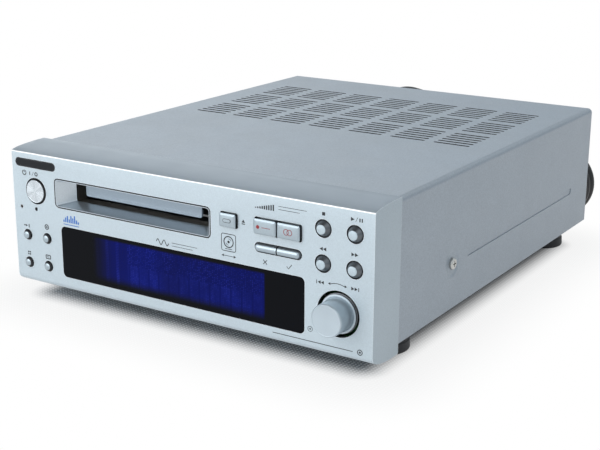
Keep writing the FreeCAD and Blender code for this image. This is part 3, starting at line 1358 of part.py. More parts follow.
def cartridge_holder():
    """Open-fronted tray with windows above and below, a notched back and four side pins."""
    x, y0, y1 = MECH_X, HOLDER_Y, HOLDER_Y1
    half, half_in = HOLDER_W / 2, HOLDER_IN_W / 2
    lower, upper = HOLDER_LOWER_W / 2, HOLDER_UPPER_W / 2
    cavity_z = HOLDER_Z0 + HOLDER_SKIN, HOLDER_Z1 - HOLDER_SKIN
    body = block(x - half, x + half, y0, y1, HOLDER_Z0, HOLDER_Z1)
    rim_y = y1 - HOLDER_RIM
    cuts = [
        block(x - half_in, x + half_in, y0 - OVER, y1 - HOLDER_WALL, *cavity_z),
        block(x - lower, x + lower, SPINDLE_Y - 12.0, rim_y, HOLDER_Z0 - OVER, DISC_Z),
        block(x - upper, x + upper, SPINDLE_Y + 4.0, rim_y, DISC_Z, HOLDER_Z1 + OVER),
        block(x - upper, x + upper, rim_y - SINK, y1 + OVER, HOLDER_Z0 - OVER, HOLDER_Z1 + OVER),
    ]
    pins = []
    for y in PIN_YS:
        pins.append(rod_x(PIN_R, y, DISC_Z, x + half - SINK, x + PIN_END))
        pins.append(rod_x(PIN_R, y, DISC_Z, x - WALL_OUT - 0.6, x - half + SINK))
    return joined([body.cut(cuts)] + pins)


def spindle_motor():
    """Flat motor under the deck, bored for the turntable's shaft."""
    body = rod_z(SPINDLE_MOTOR_R, MECH_X, SPINDLE_Y, DECK_Z - SPINDLE_MOTOR_H, DECK_Z)
    bore = rod_z(SPINDLE_R + RUN, MECH_X, SPINDLE_Y, DECK_Z - SHAFT_DEPTH - 0.5, DECK_Z + OVER)
    return body.cut(bore)


def turntable():
    """Hub, plate and shaft that carry the disc."""
    x, y = MECH_X, SPINDLE_Y
    z0 = DECK_TOP + TURNTABLE_UP
    z1 = z0 + TURNTABLE_T
    hub_h, hub_taper = 1.5, 0.8
    plate = rod_z(TURNTABLE_R, x, y, z0, z1)
    hub = Part.makeCone(HUB_R, HUB_R - hub_taper, hub_h, V(x, y, z1), V(0, 0, 1))
    shaft = rod_z(SPINDLE_R, x, y, DECK_Z - SHAFT_DEPTH, z1)
    return joined([plate, hub, shaft])


def pickup_sled():
    """Sled on two rods with a lens tower, a nut on the lead screw and an upright for the head arm."""
    x = MECH_X
    z0, z1 = RAIL_Z - 3.5, DECK_Z - 2.5
    half = RAIL_X + LUG_HALF
    nut_y0, nut_y1 = SLED_Y0 + 10.0, SLED_Y0 + 18.0
    nut_half = 3.0
    lens_y = SLED_Y0 + LENS_Y
    ear_out = EAR_X + EAR_T
    back = SLED_Y1 - 1.0
    pieces = [
        block(x - half, x + half, SLED_Y0, SLED_Y1, z0, z1),
        block(
            x - SCREW_X - nut_half,
            x - half + OVER,
            nut_y0,
            nut_y1,
            RAIL_Z - nut_half,
            RAIL_Z + nut_half,
        ),
        rod_z(LENS_TOWER_R, x, lens_y, z1 - SINK, DECK_TOP + 0.4),
        Part.makeSphere(LENS_R, V(x, lens_y, DECK_TOP - LENS_R / 2)),
        block(x - ear_out, x + ear_out, back, SLED_Y1 + 2.0, z0 + 2.0, ARM_Z - 2.4),
    ]
    for side in (-1, 1):
        a, b = sorted((x + side * EAR_X, x + side * ear_out))
        pieces.append(block(a, b, back, ARM_Y + 2.0, ARM_Z - 4.0, ARM_Z + 2.0))
    cuts = [
        rod_y(RAIL_R + RUN, x + side * RAIL_X, RAIL_Z, SLED_Y0 - OVER, SLED_Y1 + OVER) for side in (-1, 1)
    ]
    cuts.append(rod_y(RAIL_R + RUN, x - SCREW_X, RAIL_Z, SLED_Y0, SLED_Y1))
    cuts.append(rod_x(ARM_PIN_R + RUN, ARM_Y, ARM_Z, x - ear_out - OVER, x + ear_out + OVER))
    return joined(pieces).cut(cuts)


def head_arm():
    """Sprung arm that reaches over the holder with the recording head at its tip."""
    x = MECH_X
    boss_r, head_w = 1.9, 5.0
    boss_x, pin_x = EAR_X - FIT, EAR_X + EAR_T + 0.2
    blade_z = ARM_Z + 0.6
    head_y = SLED_Y0 + LENS_Y - HEAD_L / 2
    return joined(
        [
            rod_x(boss_r, ARM_Y, ARM_Z, x - boss_x, x + boss_x),
            rod_x(ARM_PIN_R, ARM_Y, ARM_Z, x - pin_x, x + pin_x),
            block(x - ARM_W / 2, x + ARM_W / 2, head_y, ARM_Y - 1.0, blade_z, blade_z + ARM_T),
            block(x - head_w / 2, x + head_w / 2, head_y, head_y + HEAD_L, ARM_Z - 1.0, blade_z + 0.1),
        ]
    )


def guide_rods():
    """Two ground rods held in the deck's lugs."""
    y1 = LUG_REAR + LUG_T
    return Part.makeCompound([rod_y(RAIL_R, MECH_X + s * RAIL_X, RAIL_Z, LUG_FRONT, y1) for s in (-1, 1)])


def lead_screw():
    """Screw that drives the sled, with a shaft end in its motor."""
    return rod_y(RAIL_R, MECH_X - SCREW_X, RAIL_Z, LUG_FRONT, SLED_MOTOR_Y + SCREW_END)


def sled_motor():
    """Round motor behind the rear lug."""
    x, y0 = MECH_X - SCREW_X, SLED_MOTOR_Y
    body = rod_y(SLED_MOTOR_R, x, RAIL_Z, y0, y0 + SLED_MOTOR_L)
    return body.cut(rod_y(RAIL_R + RUN, x, RAIL_Z, y0 - OVER, y0 + SCREW_END + SINK))


def loading_motor():
    """Gear motor under the deck, bored for the loading gear's shaft."""
    half_d, below, wall_room = 10.0, 8.0, 1.0
    x0, x1 = MECH_X + RAIL_X + 4.0, MECH_X + WALL_IN - wall_room
    body = block(x0, x1, GEAR_Y - half_d, GEAR_Y + half_d, GEAR_Z - below, DECK_Z)
    bore_x0 = MECH_X + WALL_IN - GEAR_SHAFT_IN - SINK
    return body.cut(rod_x(GEAR_SHAFT_R + RUN, GEAR_Y, GEAR_Z, bore_x0, x1 + OVER))


def tooth_profile(inner, pitch, outer, half_inner, half_pitch, half_outer):
    """Half-widths of a tooth at three heights, mirrored into one outline."""
    return [
        (-half_inner, inner),
        (-half_pitch, pitch),
        (-half_outer, outer),
        (half_outer, outer),
        (half_pitch, pitch),
        (half_inner, inner),
    ]


def loading_gear():
    """Spur gear on its shaft; a gap between two teeth faces the rack at rest."""
    overlap = 0.1
    x0, x1 = MECH_X + SLIDER_X - overlap, MECH_X + SLIDER_X + SLIDER_T + overlap
    root = PITCH_R - DEDENDUM * GEAR_MODULE
    tip = PITCH_R + ADDENDUM * GEAR_MODULE
    half = math.pi * GEAR_MODULE / 4 - BACKLASH
    outline = tooth_profile(root - FIT, PITCH_R, tip, half * 1.45, half, half * 0.42)
    pieces = [rod_x(root, GEAR_Y, GEAR_Z, x0, x1)]
    step = 360.0 / GEAR_TEETH
    for i in range(GEAR_TEETH):
        tooth = polygon_x([(GEAR_Y + a, GEAR_Z + b) for a, b in outline], x0, x1)
        tooth.rotate(V(0, GEAR_Y, GEAR_Z), V(1, 0, 0), (i + 0.5) * step)
        pieces.append(tooth)
    pieces.append(rod_x(GEAR_SHAFT_R, GEAR_Y, GEAR_Z, MECH_X + WALL_IN - GEAR_SHAFT_IN, x1 + FIT))
    return joined(pieces)


def loading_slider():
    """Cam plate outside the right wall: its sloped slots lower the holder, and its rack drives it."""
    x0, x1 = MECH_X + SLIDER_X, MECH_X + SLIDER_X + SLIDER_T
    y0 = PIN_YS[0] - SLIDER_TRAVEL - 3.0
    y1 = STUD_YS[1] + 4.0
    plate = block(x0, x1, y0, y1, SLIDER_Z0, SLIDER_Z1)
    pitch = math.pi * GEAR_MODULE
    half = pitch / 4 - BACKLASH
    addendum = ADDENDUM * GEAR_MODULE
    back = SLIDER_Z0 + FIT - RACK_LINE
    root_half, tip_half = half + back * RACK_SLOPE, half - addendum * RACK_SLOPE
    outline = tooth_profile(-back, 0, addendum, root_half, half, tip_half)
    teeth = []
    mesh_room = 9.0
    count = int((SLIDER_TRAVEL + mesh_room) / pitch) + 1
    for i in range(-count, 4):
        y = GEAR_Y + i * pitch
        teeth.append(polygon_x([(y + a, RACK_LINE - b) for a, b in outline], x0, x1))
    slot_r = PIN_R + PIN_PLAY
    cuts = []
    for y in PIN_YS:
        end = (y - SLIDER_TRAVEL, DISC_Z - LOWERING)
        cuts.append(slot_x(slot_r, (y, DISC_Z), end, x0 - OVER, x1 + OVER))
    for y in STUD_YS:
        cuts.append(slot_x(slot_r, (y, STUD_Z), (y - SLIDER_TRAVEL, STUD_Z), x0 - OVER, x1 + OVER))
    return joined([plate] + teeth).cut(cuts)


# ---------------------------------------------------------------- mains lead
def strain_relief():
    """Bush through the rear panel, tapering to the cord."""
    x, z = CORD_EXIT.x, CORD_EXIT.z
    flange_r = RELIEF_NECK_R + RELIEF_FLANGE
    clip_l, hair, flange_t, cord_wall = 4.0, 0.05, 2.15, 0.9
    front, rear = REAR_IN - hair, REAR_Y + hair
    return joined(
        [
            rod_y(flange_r, x, z, front - clip_l, front),
            rod_y(RELIEF_NECK_R, x, z, front - SINK, rear + SINK),
            rod_y(flange_r, x, z, rear, rear + flange_t),
            cone_y(RELIEF_NECK_R, CORD_R + cord_wall, x, z, rear + flange_t - SINK, CORD_EXIT.y),
        ]
    )


def cord_tube(points):
    """Round cord along straight runs joined by tangent arcs, as large as their runs allow."""
    corners = [V(*p) for p in points]
    edges = []
    here = corners[0]
    radii = []
    for before, at, after in zip(corners, corners[1:], corners[2:]):
        into, out = at - before, after - at
        turn = into.getAngle(out)
        run = min(into.Length, out.Length)
        radius = 0.45 * run / math.tan(turn / 2)
        radii.append(radius)
        back = 0.45 * run
        start = at - V(into).normalize() * back
        end = at + V(out).normalize() * back
        inward = (V(out).normalize() - V(into).normalize()).normalize()
        centre = at + inward * math.hypot(radius, back)
        middle = centre - inward * radius
        if (start - here).Length > 1e-6:
            edges.append(Part.LineSegment(here, start).toShape())
        edges.append(Part.Arc(start, middle, end).toShape())
        here = end
    edges.append(Part.LineSegment(here, corners[-1]).toShape())
    path = Part.Wire(edges)
    circle = Part.makeCircle(CORD_R, corners[0], corners[1] - corners[0])
    tube = path.makePipeShell([Part.Wire([circle])], True, False)
    expected = math.pi * CORD_R**2 * path.Length
    print(
        "cord: length %.1f, radii %s, volume ratio %.4f"
        % (path.Length, " ".join("%.1f" % r for r in radii), tube.Volume / expected)
    )
    return tube


def hank_outline(y):
    """Dog-bone outline of the tied hank in the XZ plane at y."""
    outer = HANK_TURN_R + CORD_R
    waist = 2 * CORD_R
    left, right = HANK_X - HANK_REACH, HANK_X + HANK_REACH
    edges = []
    for side, start, end in ((1, left, right), (-1, right, left)):
        sag = Part.BSplineCurve()
        middle = (start + end) / 2
        quarter = (end - start) / 4
        points = [
            V(start, y, HANK_Z + side * outer),
            V(start + quarter, y, HANK_Z + side * (outer + waist) / 2),
            V(middle, y, HANK_Z + side * waist),
            V(end - quarter, y, HANK_Z + side * (outer + waist) / 2),
            V(end, y, HANK_Z + side * outer),
        ]
        along = V(end - start, 0, 0).normalize()
        sag.interpolate(Points=points, InitialTangent=along, FinalTangent=along)
        edges.append(sag.toShape())
        fold = V(end + side * outer, y, HANK_Z)
        edges.append(Part.Arc(points[-1], fold, V(end, y, HANK_Z - side * outer)).toShape())
    return Part.Wire(Part.__sortEdges__(edges))


def cord_hank():
    """Closed outer shape of the hank, with the short stubs where the cord comes in and goes out."""
    half = HANK_TURNS * CORD_R
    bundle = Part.Face(hank_outline(HANK_Y - half)).extrude(V(0, 2 * half, 0))
    before, end = V(*ROUTE[-2]), V(*ROUTE[-1])
    stub_in = Part.makeCylinder(CORD_R, STUB_L, end, end - before)
    stub_out = rod_x(CORD_R, HANK_FRONT, HANK_Z - HANK_TURN_R, PLUG_X, HANK_X - HANK_REACH)
    return joined([bundle, stub_in, stub_out])


def cord_tie():
    """Band round the hank's waist."""
    slack = 1.0
    half_y = HANK_TURNS * CORD_R
    half_z = 2 * CORD_R + slack
    x0, x1 = HANK_X - TIE_W / 2, HANK_X + TIE_W / 2
    out_y, out_z = half_y + TIE_T, half_z + TIE_T
    outer = block(x0, x1, HANK_Y - out_y, HANK_Y + out_y, HANK_Z - out_z, HANK_Z + out_z)
    inner = block(
        x0 - OVER, x1 + OVER, HANK_Y - half_y, HANK_Y + half_y, HANK_Z - half_z, HANK_Z + half_z
    )
    return outer.cut(inner)


def power_plug():
    """Two-blade plug lying on the floor at the cord's end."""
    x0, y = PLUG_X - PLUG_L, HANK_FRONT
    body_x1 = x0 + PLUG_BODY_L
    half, corner = PLUG_W / 2, 2.5
    body = block(x0, body_x1, y - half, y + half, FLOOR, FLOOR + PLUG_H)
    along = [e for e in body.Edges if abs(e.tangentAt(e.FirstParameter).x) > 0.99]
    body = body.makeFillet(corner, along)
    tail_z, tail_r, cord_wall = FLOOR + 6.3, 5.5, 0.8
    start = V(body_x1 - 1.0, y, tail_z)
    tail = Part.makeCone(tail_r, CORD_R + cord_wall, PLUG_X - start.x, start, V(1, 0, 0))
    blades = []
    blade_z = FLOOR + (PLUG_H - BLADE_W) / 2
    for side in (-1, 1):
        middle = y + side * BLADE_PITCH / 2
        y0, y1 = middle - BLADE_T / 2, middle + BLADE_T / 2
        blades.append(block(x0 - BLADE_L, x0 + OVER, y0, y1, blade_z, blade_z + BLADE_W))
    return joined([body, tail] + blades)


# ---------------------------------------------------------------- write every piece
def write(name, shape):
    """Move a piece to the part's frame and write it."""
    placed = shape.copy()
    placed.translate(ORIGIN)
    if not placed.isValid():
        print("invalid:", name)
    placed.exportStep("parts/%s.step" % name)


def panel_with_bosses():
    """Front panel and the bosses moulded on its back."""
    return joined([front_panel()] + panel_bosses())


def all_pieces():
    """Every node's name and shape."""
    pieces = {
        "front_panel": panel_with_bosses(),
        "badge_plate": badge_plate(),
        "display_window": display_window(),
        "slot_bezel": slot_bezel(),
        "slot_door": slot_door(),
        "power_button": power_button(),
        "standby_lamp": standby_lamp(),
        "eject_button": eject_button(),
        "record_button": record_key(-1),
        "dubbing_button": record_key(1),
        "edit_button": pill_key(-1),
        "yes_button": pill_key(1),
        "jog_knob": jog_knob(),
        "jog_shaft": jog_shaft(),
        "encoder_sleeve": encoder_sleeve(),
        "encoder_body": encoder_body(),
        "tact_switches": tact_switches(),
        "front_board": front_board(),
        "display_tube": display_tube(),
        "top_cover": top_cover(),
        "chassis_base": chassis_base(),
        "rear_panel": rear_panel(),
        "feet": feet(),
        "case_screws": case_screws(),
        "board_screws": board_screws(),
        "main_board": main_board(),
        "chips": chips(),
        "capacitors": capacitors(),
        "heat_sink": heat_sink(),
        "transformer_core": transformer_core(),
        "transformer_coil": transformer_coil(),
        "phono_jacks": phono_jacks(),
        "optical_sockets": optical_sockets(),
        "ribbon_cables": ribbon_cables(),
        "mech_base": mech_base(),
        "mech_posts": mech_posts(),
        "cartridge_holder": cartridge_holder(),
        "spindle_motor": spindle_motor(),
        "turntable": turntable(),
        "pickup_sled": pickup_sled(),
        "head_arm": head_arm(),
        "guide_rods": guide_rods(),
        "lead_screw": lead_screw(),
        "sled_motor": sled_motor(),
        "loading_motor": loading_motor(),
        "loading_gear": loading_gear(),
        "loading_slider": loading_slider(),
        "strain_relief": strain_relief(),
        "power_cord": cord_tube(ROUTE),
        "cord_hank": cord_hank(),
        "cord_tie": cord_tie(),
        "power_plug": power_plug(),
    }
    pieces.update({name: dome_button(*place) for name, place in dome_places().items()})
    pieces.update({name: transport_button(*place) for name, place in transport_places().items()})
    return pieces


os.makedirs("parts", exist_ok=True)
for node, solid in all_pieces().items():
    write(node, solid)
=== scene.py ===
"""Looks of the minidisc deck: its shaped pieces, finishes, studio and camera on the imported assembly.

Sizes are millimetres in the row frame: X to the deck's right, Y to its rear, Z up from the floor.
"""

from __future__ import annotations

import json
import logging
import math
from dataclasses import dataclass, field
from enum import Enum
from typing import Any, Callable, Sequence

import bmesh
import bpy
import numpy as np
from mathutils import Matrix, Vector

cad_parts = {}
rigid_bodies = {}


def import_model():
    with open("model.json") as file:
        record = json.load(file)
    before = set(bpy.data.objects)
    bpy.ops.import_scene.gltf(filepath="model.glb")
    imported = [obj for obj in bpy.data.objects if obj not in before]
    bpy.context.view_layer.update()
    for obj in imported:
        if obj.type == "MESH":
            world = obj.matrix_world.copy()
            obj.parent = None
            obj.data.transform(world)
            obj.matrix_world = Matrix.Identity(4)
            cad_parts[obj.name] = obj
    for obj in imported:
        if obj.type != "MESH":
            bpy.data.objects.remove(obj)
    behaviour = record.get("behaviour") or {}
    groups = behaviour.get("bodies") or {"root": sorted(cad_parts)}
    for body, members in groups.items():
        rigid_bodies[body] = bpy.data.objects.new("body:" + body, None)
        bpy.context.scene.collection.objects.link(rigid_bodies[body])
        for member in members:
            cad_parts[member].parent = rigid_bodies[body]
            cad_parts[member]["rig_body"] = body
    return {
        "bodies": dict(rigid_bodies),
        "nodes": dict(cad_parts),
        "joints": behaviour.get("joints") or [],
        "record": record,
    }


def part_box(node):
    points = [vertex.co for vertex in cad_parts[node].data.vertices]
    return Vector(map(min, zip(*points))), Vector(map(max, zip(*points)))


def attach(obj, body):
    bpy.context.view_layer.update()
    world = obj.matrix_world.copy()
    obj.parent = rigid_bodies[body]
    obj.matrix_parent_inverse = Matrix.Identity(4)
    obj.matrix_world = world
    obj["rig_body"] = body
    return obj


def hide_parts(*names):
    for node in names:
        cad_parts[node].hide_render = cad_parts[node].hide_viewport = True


LOG = logging.getLogger("deck")
MM = 0.001
FACE_Y = -126.0  # the front panel's face
REAR_Y = 128.0  # the rear panel's outside
WELD = 1e-6
Colour = tuple[float, float, float, float]
Point = tuple[float, float, float]
Pair = tuple[float, float]
Rows = Sequence[tuple[float, float, float]]  # a profile's corners: radius or inset, height, rounding


def srgb(red: int, green: int, blue: int) -> Colour:
    """Linear colour of an 8-bit display colour, with an alpha of 1."""
    shown = np.array([red, green, blue]) / 255.0
    linear = np.where(shown <= 0.04045, shown / 12.92, ((shown + 0.055) / 1.055) ** 2.4)
    return (*linear.tolist(), 1.0)


def shade_of(red: int, green: int, blue: int) -> Any:
    """Dataclass field whose default is a display colour."""
    return field(default_factory=lambda: srgb(red, green, blue))


def linked(name: str, data: Any) -> bpy.types.Object:
    """New object with the given data, in the scene."""
    made = bpy.data.objects.new(name, data)
    bpy.context.scene.collection.objects.link(made)
    return made


def unit(vectors: Any) -> np.ndarray:
    """Vectors, along the last axis, brought to a length of 1."""
    vectors = np.asarray(vectors, float)
    return vectors / np.linalg.norm(vectors, axis=-1, keepdims=True)


def headings(path: np.ndarray, closed: bool = True) -> np.ndarray:
    """Unit direction at each point of a path, from the points before and after it."""
    ahead = np.roll(path, -1, axis=0) - np.roll(path, 1, axis=0)
    if not closed:
        ahead[0], ahead[-1] = path[1] - path[0], path[-1] - path[-2]
    return unit(ahead)


def arc(x: float, z: float, radius: float, start: float, stop: float, count: int, whole: bool = False) -> np.ndarray:
    """Points (x, z) on a circle between two angles in degrees, the last left out of a whole one."""
    angle = np.radians(np.linspace(start, stop, count, endpoint=not whole))
    return np.stack([x + radius * np.cos(angle), z + radius * np.sin(angle)], axis=-1)


# ---------------------------------------------------------------- surfaces
class Facing(Enum):
    """Which way a piece's own height axis points, as rows of the matrix from (a, b, height) to (x, y, z)."""

    FRONT = ((1, 0, 0), (0, 0, -1), (0, 1, 0))
    REAR = ((-1, 0, 0), (0, 0, 1), (0, 1, 0))
    UP = ((1, 0, 0), (0, 1, 0), (0, 0, 1))
    RIGHT = ((0, 0, 1), (1, 0, 0), (0, 1, 0))


def seated(points: np.ndarray, at: Point, facing: Facing) -> np.ndarray:
    """Moves local points (a, b, height) to a place: each becomes at + a*A + b*B + height*H."""
    return points @ np.array(facing.value, float).T + np.array(at)


def softened(corners: Rows, steps: int = 5) -> np.ndarray:
    """Profile whose corners are arcs: each corner (r, h, radius) becomes points of its tangent circle.

    A corner between runs that turn by t is cut back by radius * tan(t / 2), at most 45% of either run.

    Args:
        corners: profile corners with the radius of each.
        steps: points on each arc.

    Returns:
        Array (n, 2) of profile points.
    """
    flat = np.array([c[:2] for c in corners], float)
    out = [flat[:1]]
    for before, at, after, corner in zip(flat, flat[1:], flat[2:], corners[1:]):
        into, away = at - before, after - at
        reach_in, reach_out = np.linalg.norm(into), np.linalg.norm(away)
        into, away = into / reach_in, away / reach_out
        turn = math.acos(float(np.clip(into @ away, -1, 1)))
        back = min(corner[2] * math.tan(turn / 2), 0.45 * reach_in, 0.45 * reach_out)
        if back < 1e-4:
            out.append(at[None])
            continue
        t = np.linspace(0, 1, steps)[:, None]
        weight = 2 * t * (1 - t) * math.cos(turn / 2)
        bow = (1 - t) ** 2 * (at - into * back) + weight * at + t**2 * (at + away * back)
        out.append(bow / ((1 - t) ** 2 + weight + t**2))
    return np.concatenate([*out, flat[-1:]])


def turned(profile: np.ndarray, segments: int = 64) -> np.ndarray:
    """Surface of revolution, grid (n, segments, 3): point (u, v) is (r(v) cos u, r(v) sin u, h(v))."""
    angle = np.linspace(0, 2 * math.pi, segments, endpoint=False)
    radius, height = profile[:, :1], profile[:, 1:]
    return np.stack([radius * np.cos(angle), radius * np.sin(angle), height + 0 * angle], axis=-1)


def outline(width: Any, depth: Any, radius: Any, steps: int = 7) -> np.ndarray:
    """Rectangles with round corners: point (v, u) is the corner centre plus radius(v) times the unit circle at u.

    Args:
        width: width of each outline.
        depth: depth of each outline.
        radius: corner radius of each outline, cut to what fits.
        steps: points on each corner.

    Returns:
        Array (n, 4 * steps, 2).
    """
    width, depth, radius = (np.atleast_1d(np.asarray(v, float)) for v in (width, depth, radius))
    radius = np.clip(radius, 0, np.minimum(width, depth) / 2)[:, None, None]
    angle = np.arange(4)[:, None] * math.pi / 2 + np.linspace(0, math.pi / 2, steps)
    sign = np.array([(1, 1), (-1, 1), (-1, -1), (1, -1)], float)
    centre = sign * (np.stack([width, depth], axis=-1)[:, None, :] / 2 - radius)
    ring = np.stack([np.cos(angle), np.sin(angle)], axis=-1)
    return (centre[:, :, None, :] + radius[..., None] * ring).reshape(len(width), -1, 2)


def stacked(width: float, depth: float, radius: float, rings: np.ndarray, steps: int = 7) -> np.ndarray:
    """Key-like surface, grid (n, 4 * steps, 3): outline v is drawn in by inset(v) and lifted to height(v).

    Args:
        width: outer width.
        depth: outer depth.
        radius: outer corner radius.
        rings: array (n, 2) of inset and height.
        steps: points on each corner.

    Returns:
        Grid of points.
    """
    inset, height = rings[:, 0], rings[:, 1]
    flat = outline(width - 2 * inset, depth - 2 * inset, np.maximum(radius - inset, 0.02), steps)
    return np.concatenate([flat, np.broadcast_to(height[:, None, None], flat.shape[:2] + (1,))], axis=-1)


class Form:
    """Collects grids and flat faces, in millimetres, and welds them into one mesh object."""

    def __init__(self, name: str) -> None:
        """Starts an empty form with the piece's name."""
        self.name = name
        self.points: list[np.ndarray] = []
        self.faces: list[list[int]] = []
        self.shades: list[int] = []
        self.count = 0

    def grid(self, points: np.ndarray, wrap: bool = True, shade: int = 0, ends: bool = False) -> Form:
        """Adds quads between neighbouring rows of a grid.

        Args:
            points: grid (rows, columns, 3).
            wrap: whether each row closes on itself.
            shade: index of the material.
            ends: whether the first and last row are closed with a flat face.

        Returns:
            This form.
        """
        rows, columns = points.shape[:2]
        index = self.count + np.arange(rows * columns).reshape(rows, columns)
        left, right = (index, np.roll(index, -1, axis=1)) if wrap else (index[:, :-1], index[:, 1:])
        faces = np.stack([left[:-1], right[:-1], right[1:], left[1:]], axis=-1).reshape(-1, 4).tolist()
        if ends:
            faces += [index[0, ::-1].tolist(), index[-1].tolist()]
        self.points.append(points.reshape(-1, 3))
        self.faces += faces
        self.shades += [shade] * len(faces)
        self.count += rows * columns
        return self

    def turn(
        self, rows: Rows, at: Point, facing: Facing = Facing.FRONT, segments: int = 64, steps: int = 4, shade: int = 0
    ) -> Form:
        """Adds the surface that softened rows make when they are turned about the height axis."""
        return self.grid(seated(turned(softened(rows, steps), segments), at, facing), shade=shade)

    def stack(
        self, sides: tuple[float, float, float], rows: Rows, at: Point, facing: Facing = Facing.FRONT,
        corner: int = 7, steps: int = 4, shade: int = 0, ends: bool = True,
    ) -> Form:
        """Adds the key-like surface of softened rows on an outline.

        Args:
            sides: width, depth and corner radius of the outline.
            rows: inset, height and rounding of each ring.
            at: where the local origin goes.
            facing: which way the height axis points.
            corner: points on each corner of the outline.
            steps: points on each arc of the rows.
            shade: index of the material.
            ends: whether the first and last ring are closed.

        Returns:
            This form.
        """
        return self.grid(seated(stacked(*sides, softened(rows, steps), corner), at, facing), shade=shade, ends=ends)

    def made(self, crease: float = 35.0) -> bpy.types.Object:
        """Welds the form's points, turns its faces outwards and shades it smooth up to a crease angle.

        Args:
            crease: degrees between faces past which their edge stays sharp.

        Returns:
            The new object, at the origin.
        """
        mesh = bpy.data.meshes.new(self.name)
        mesh.from_pydata((np.concatenate(self.points) * MM).tolist(), [], self.faces)
        mesh.polygons.foreach_set("material_index", self.shades)
        work = bmesh.new()
        work.from_mesh(mesh)
        bmesh.ops.remove_doubles(work, verts=work.verts, dist=WELD)
        bmesh.ops.dissolve_degenerate(work, dist=WELD, edges=work.edges)
        bmesh.ops.recalc_face_normals(work, faces=work.faces)
        work.to_mesh(mesh)
        work.free()
        mesh.shade_smooth()
        mesh.set_sharp_from_angle(angle=math.radians(crease))
        return linked(self.name, mesh)


# ---------------------------------------------------------------- shader groups
def joining(operation: str, swapped: bool = False) -> Callable[[Value, Any], Value]:
    """Operator method that joins two values with a Math node, the second first where swapped."""

    def method(self: Value, other: Any) -> Value:
        """Result of the Math node."""
        return self.net.math(operation, *((other, self) if swapped else (self, other)))

    return method


class Value:
    """Output of a node, whose arithmetic adds Math nodes."""

    def __init__(self, net: Net, socket: bpy.types.NodeSocket) -> None:
        """Wraps a socket of a net."""
        self.net, self.socket = net, socket

    __add__ = __radd__ = joining("ADD")
    __mul__ = __rmul__ = joining("MULTIPLY")
    __sub__, __rsub__ = joining("SUBTRACT"), joining("SUBTRACT", True)
    __truediv__, __rtruediv__ = joining("DIVIDE"), joining("DIVIDE", True)
    __gt__, __lt__ = joining("GREATER_THAN"), joining("LESS_THAN")

    def __abs__(self) -> Value:
        """Its size without its sign."""
        return self.net.math("ABSOLUTE", self)


class Net:
    """Short hand for adding and joining the nodes of one tree."""

    def __init__(self, tree: bpy.types.NodeTree) -> None:
        """Works on the given tree."""
        self.tree = tree

    @classmethod
    def emptied(cls, owner: Any) -> Net:
        """Net on the tree of a material or world, without its first nodes."""
        owner.use_nodes = True
        owner.node_tree.nodes.clear()
        return cls(owner.node_tree)

    def join(self, value: Any, socket: bpy.types.NodeSocket) -> None:
        """Links a value to an input, or sets the input to a constant."""
        if isinstance(value, Value):
            self.tree.links.new(value.socket, socket)
        else:
            socket.default_value = value

    def add(self, kind: str, feeds: dict[Any, Any] | None = None, **settings: Any) -> bpy.types.Node:
        """Adds a node.

        Args:
            kind: node type without its ShaderNode prefix.
            feeds: value or constant for each input, by name or index.
            settings: the node's own settings.

        Returns:
            The node.
        """
        node = self.tree.nodes.new(kind if kind.startswith("Node") else "ShaderNode" + kind)
        for key, value in settings.items():
            setattr(node, key, value)
        for key, value in (feeds or {}).items():
            self.join(value, node.inputs[key])
        return node

    def get(self, kind: str, output: int | str = 0, feeds: dict[Any, Any] | None = None, **settings: Any) -> Value:
        """One output of a new node."""
        return Value(self, self.add(kind, feeds, **settings).outputs[output])

    def math(self, operation: str, first: Any, second: Any = 0.0, clamp: bool = False) -> Value:
        """Result of a Math node."""
        return self.get("Math", 0, {0: first, 1: second}, operation=operation, use_clamp=clamp)

    def vector(self, operation: str, first: Any, second: Any = (0, 0, 0)) -> Value:
        """Result of a Vector Math node."""
        output = "Value" if operation in ("LENGTH", "DOT_PRODUCT") else 0
        return self.get("VectorMath", output, {0: first, 1: second}, operation=operation)

    def split(self, vector: Any) -> list[Value]:
        """The three parts of a vector."""
        return [Value(self, part) for part in self.add("SeparateXYZ", {0: vector}).outputs]

    def normal(self) -> Value:
        """The surface's normal."""
        return self.get("NewGeometry", "Normal")

    def ray(self, *kinds: str) -> Value:
        """1 for a ray of one of the kinds, 0 for any other."""
        outputs = self.add("LightPath").outputs
        found, *others = (Value(self, outputs[f"Is {kind} Ray"]) for kind in kinds)
        for other in others:
            found = self.math("MAXIMUM", found, other)
        return found

    def mixed(self, factor: Any, first: Any, second: Any, blend: str = "MIX") -> Value:
        """Colour of a Mix node."""
        return self.get("Mix", 2, {0: factor, 6: first, 7: second}, data_type="RGBA", blend_type=blend)

    def shaded(self, colour: Any, shade: Any) -> Value:
        """A colour times a shade."""
        return self.mixed(1.0, colour, shade, "MULTIPLY")

    def eased(self, value: Any, low: float, high: float, start: float = 0.0, end: float = 1.0) -> Value:
        """Value turned smoothly from start at low to end at high."""
        feeds = {"Value": value, "From Min": low, "From Max": high, "To Min": start, "To Max": end}
        return self.get("MapRange", 0, feeds, interpolation_type="SMOOTHSTEP")

    def wave(self, value: Any, reach: float = 0.5) -> Value:
        """Zigzag of a value between 0 and a reach."""
        return self.math("PINGPONG", value, reach)

    def place(self, centre: Point = (0, 0, 0), scale: Point = (1, 1, 1)) -> Value:
        """Object coordinates in millimetres from a centre, stretched by a scale."""
        factors = tuple(s / MM for s in scale)
        shift = tuple(-c * s for c, s in zip(centre, scale))
        return self.get("Mapping", 0, {0: self.get("TexCoord", "Object"), 1: shift, 3: factors})

    def noise(self, place: Any, pitch: Any, detail: float = 2.0, roughness: float = 0.5) -> Value:
        """Noise of about one feature per pitch millimetres, 0 to 1."""
        feeds = {"Vector": place, "Scale": 1.0 / pitch, "Detail": detail, "Roughness": roughness}
        return self.get("TexNoise", 0, feeds)


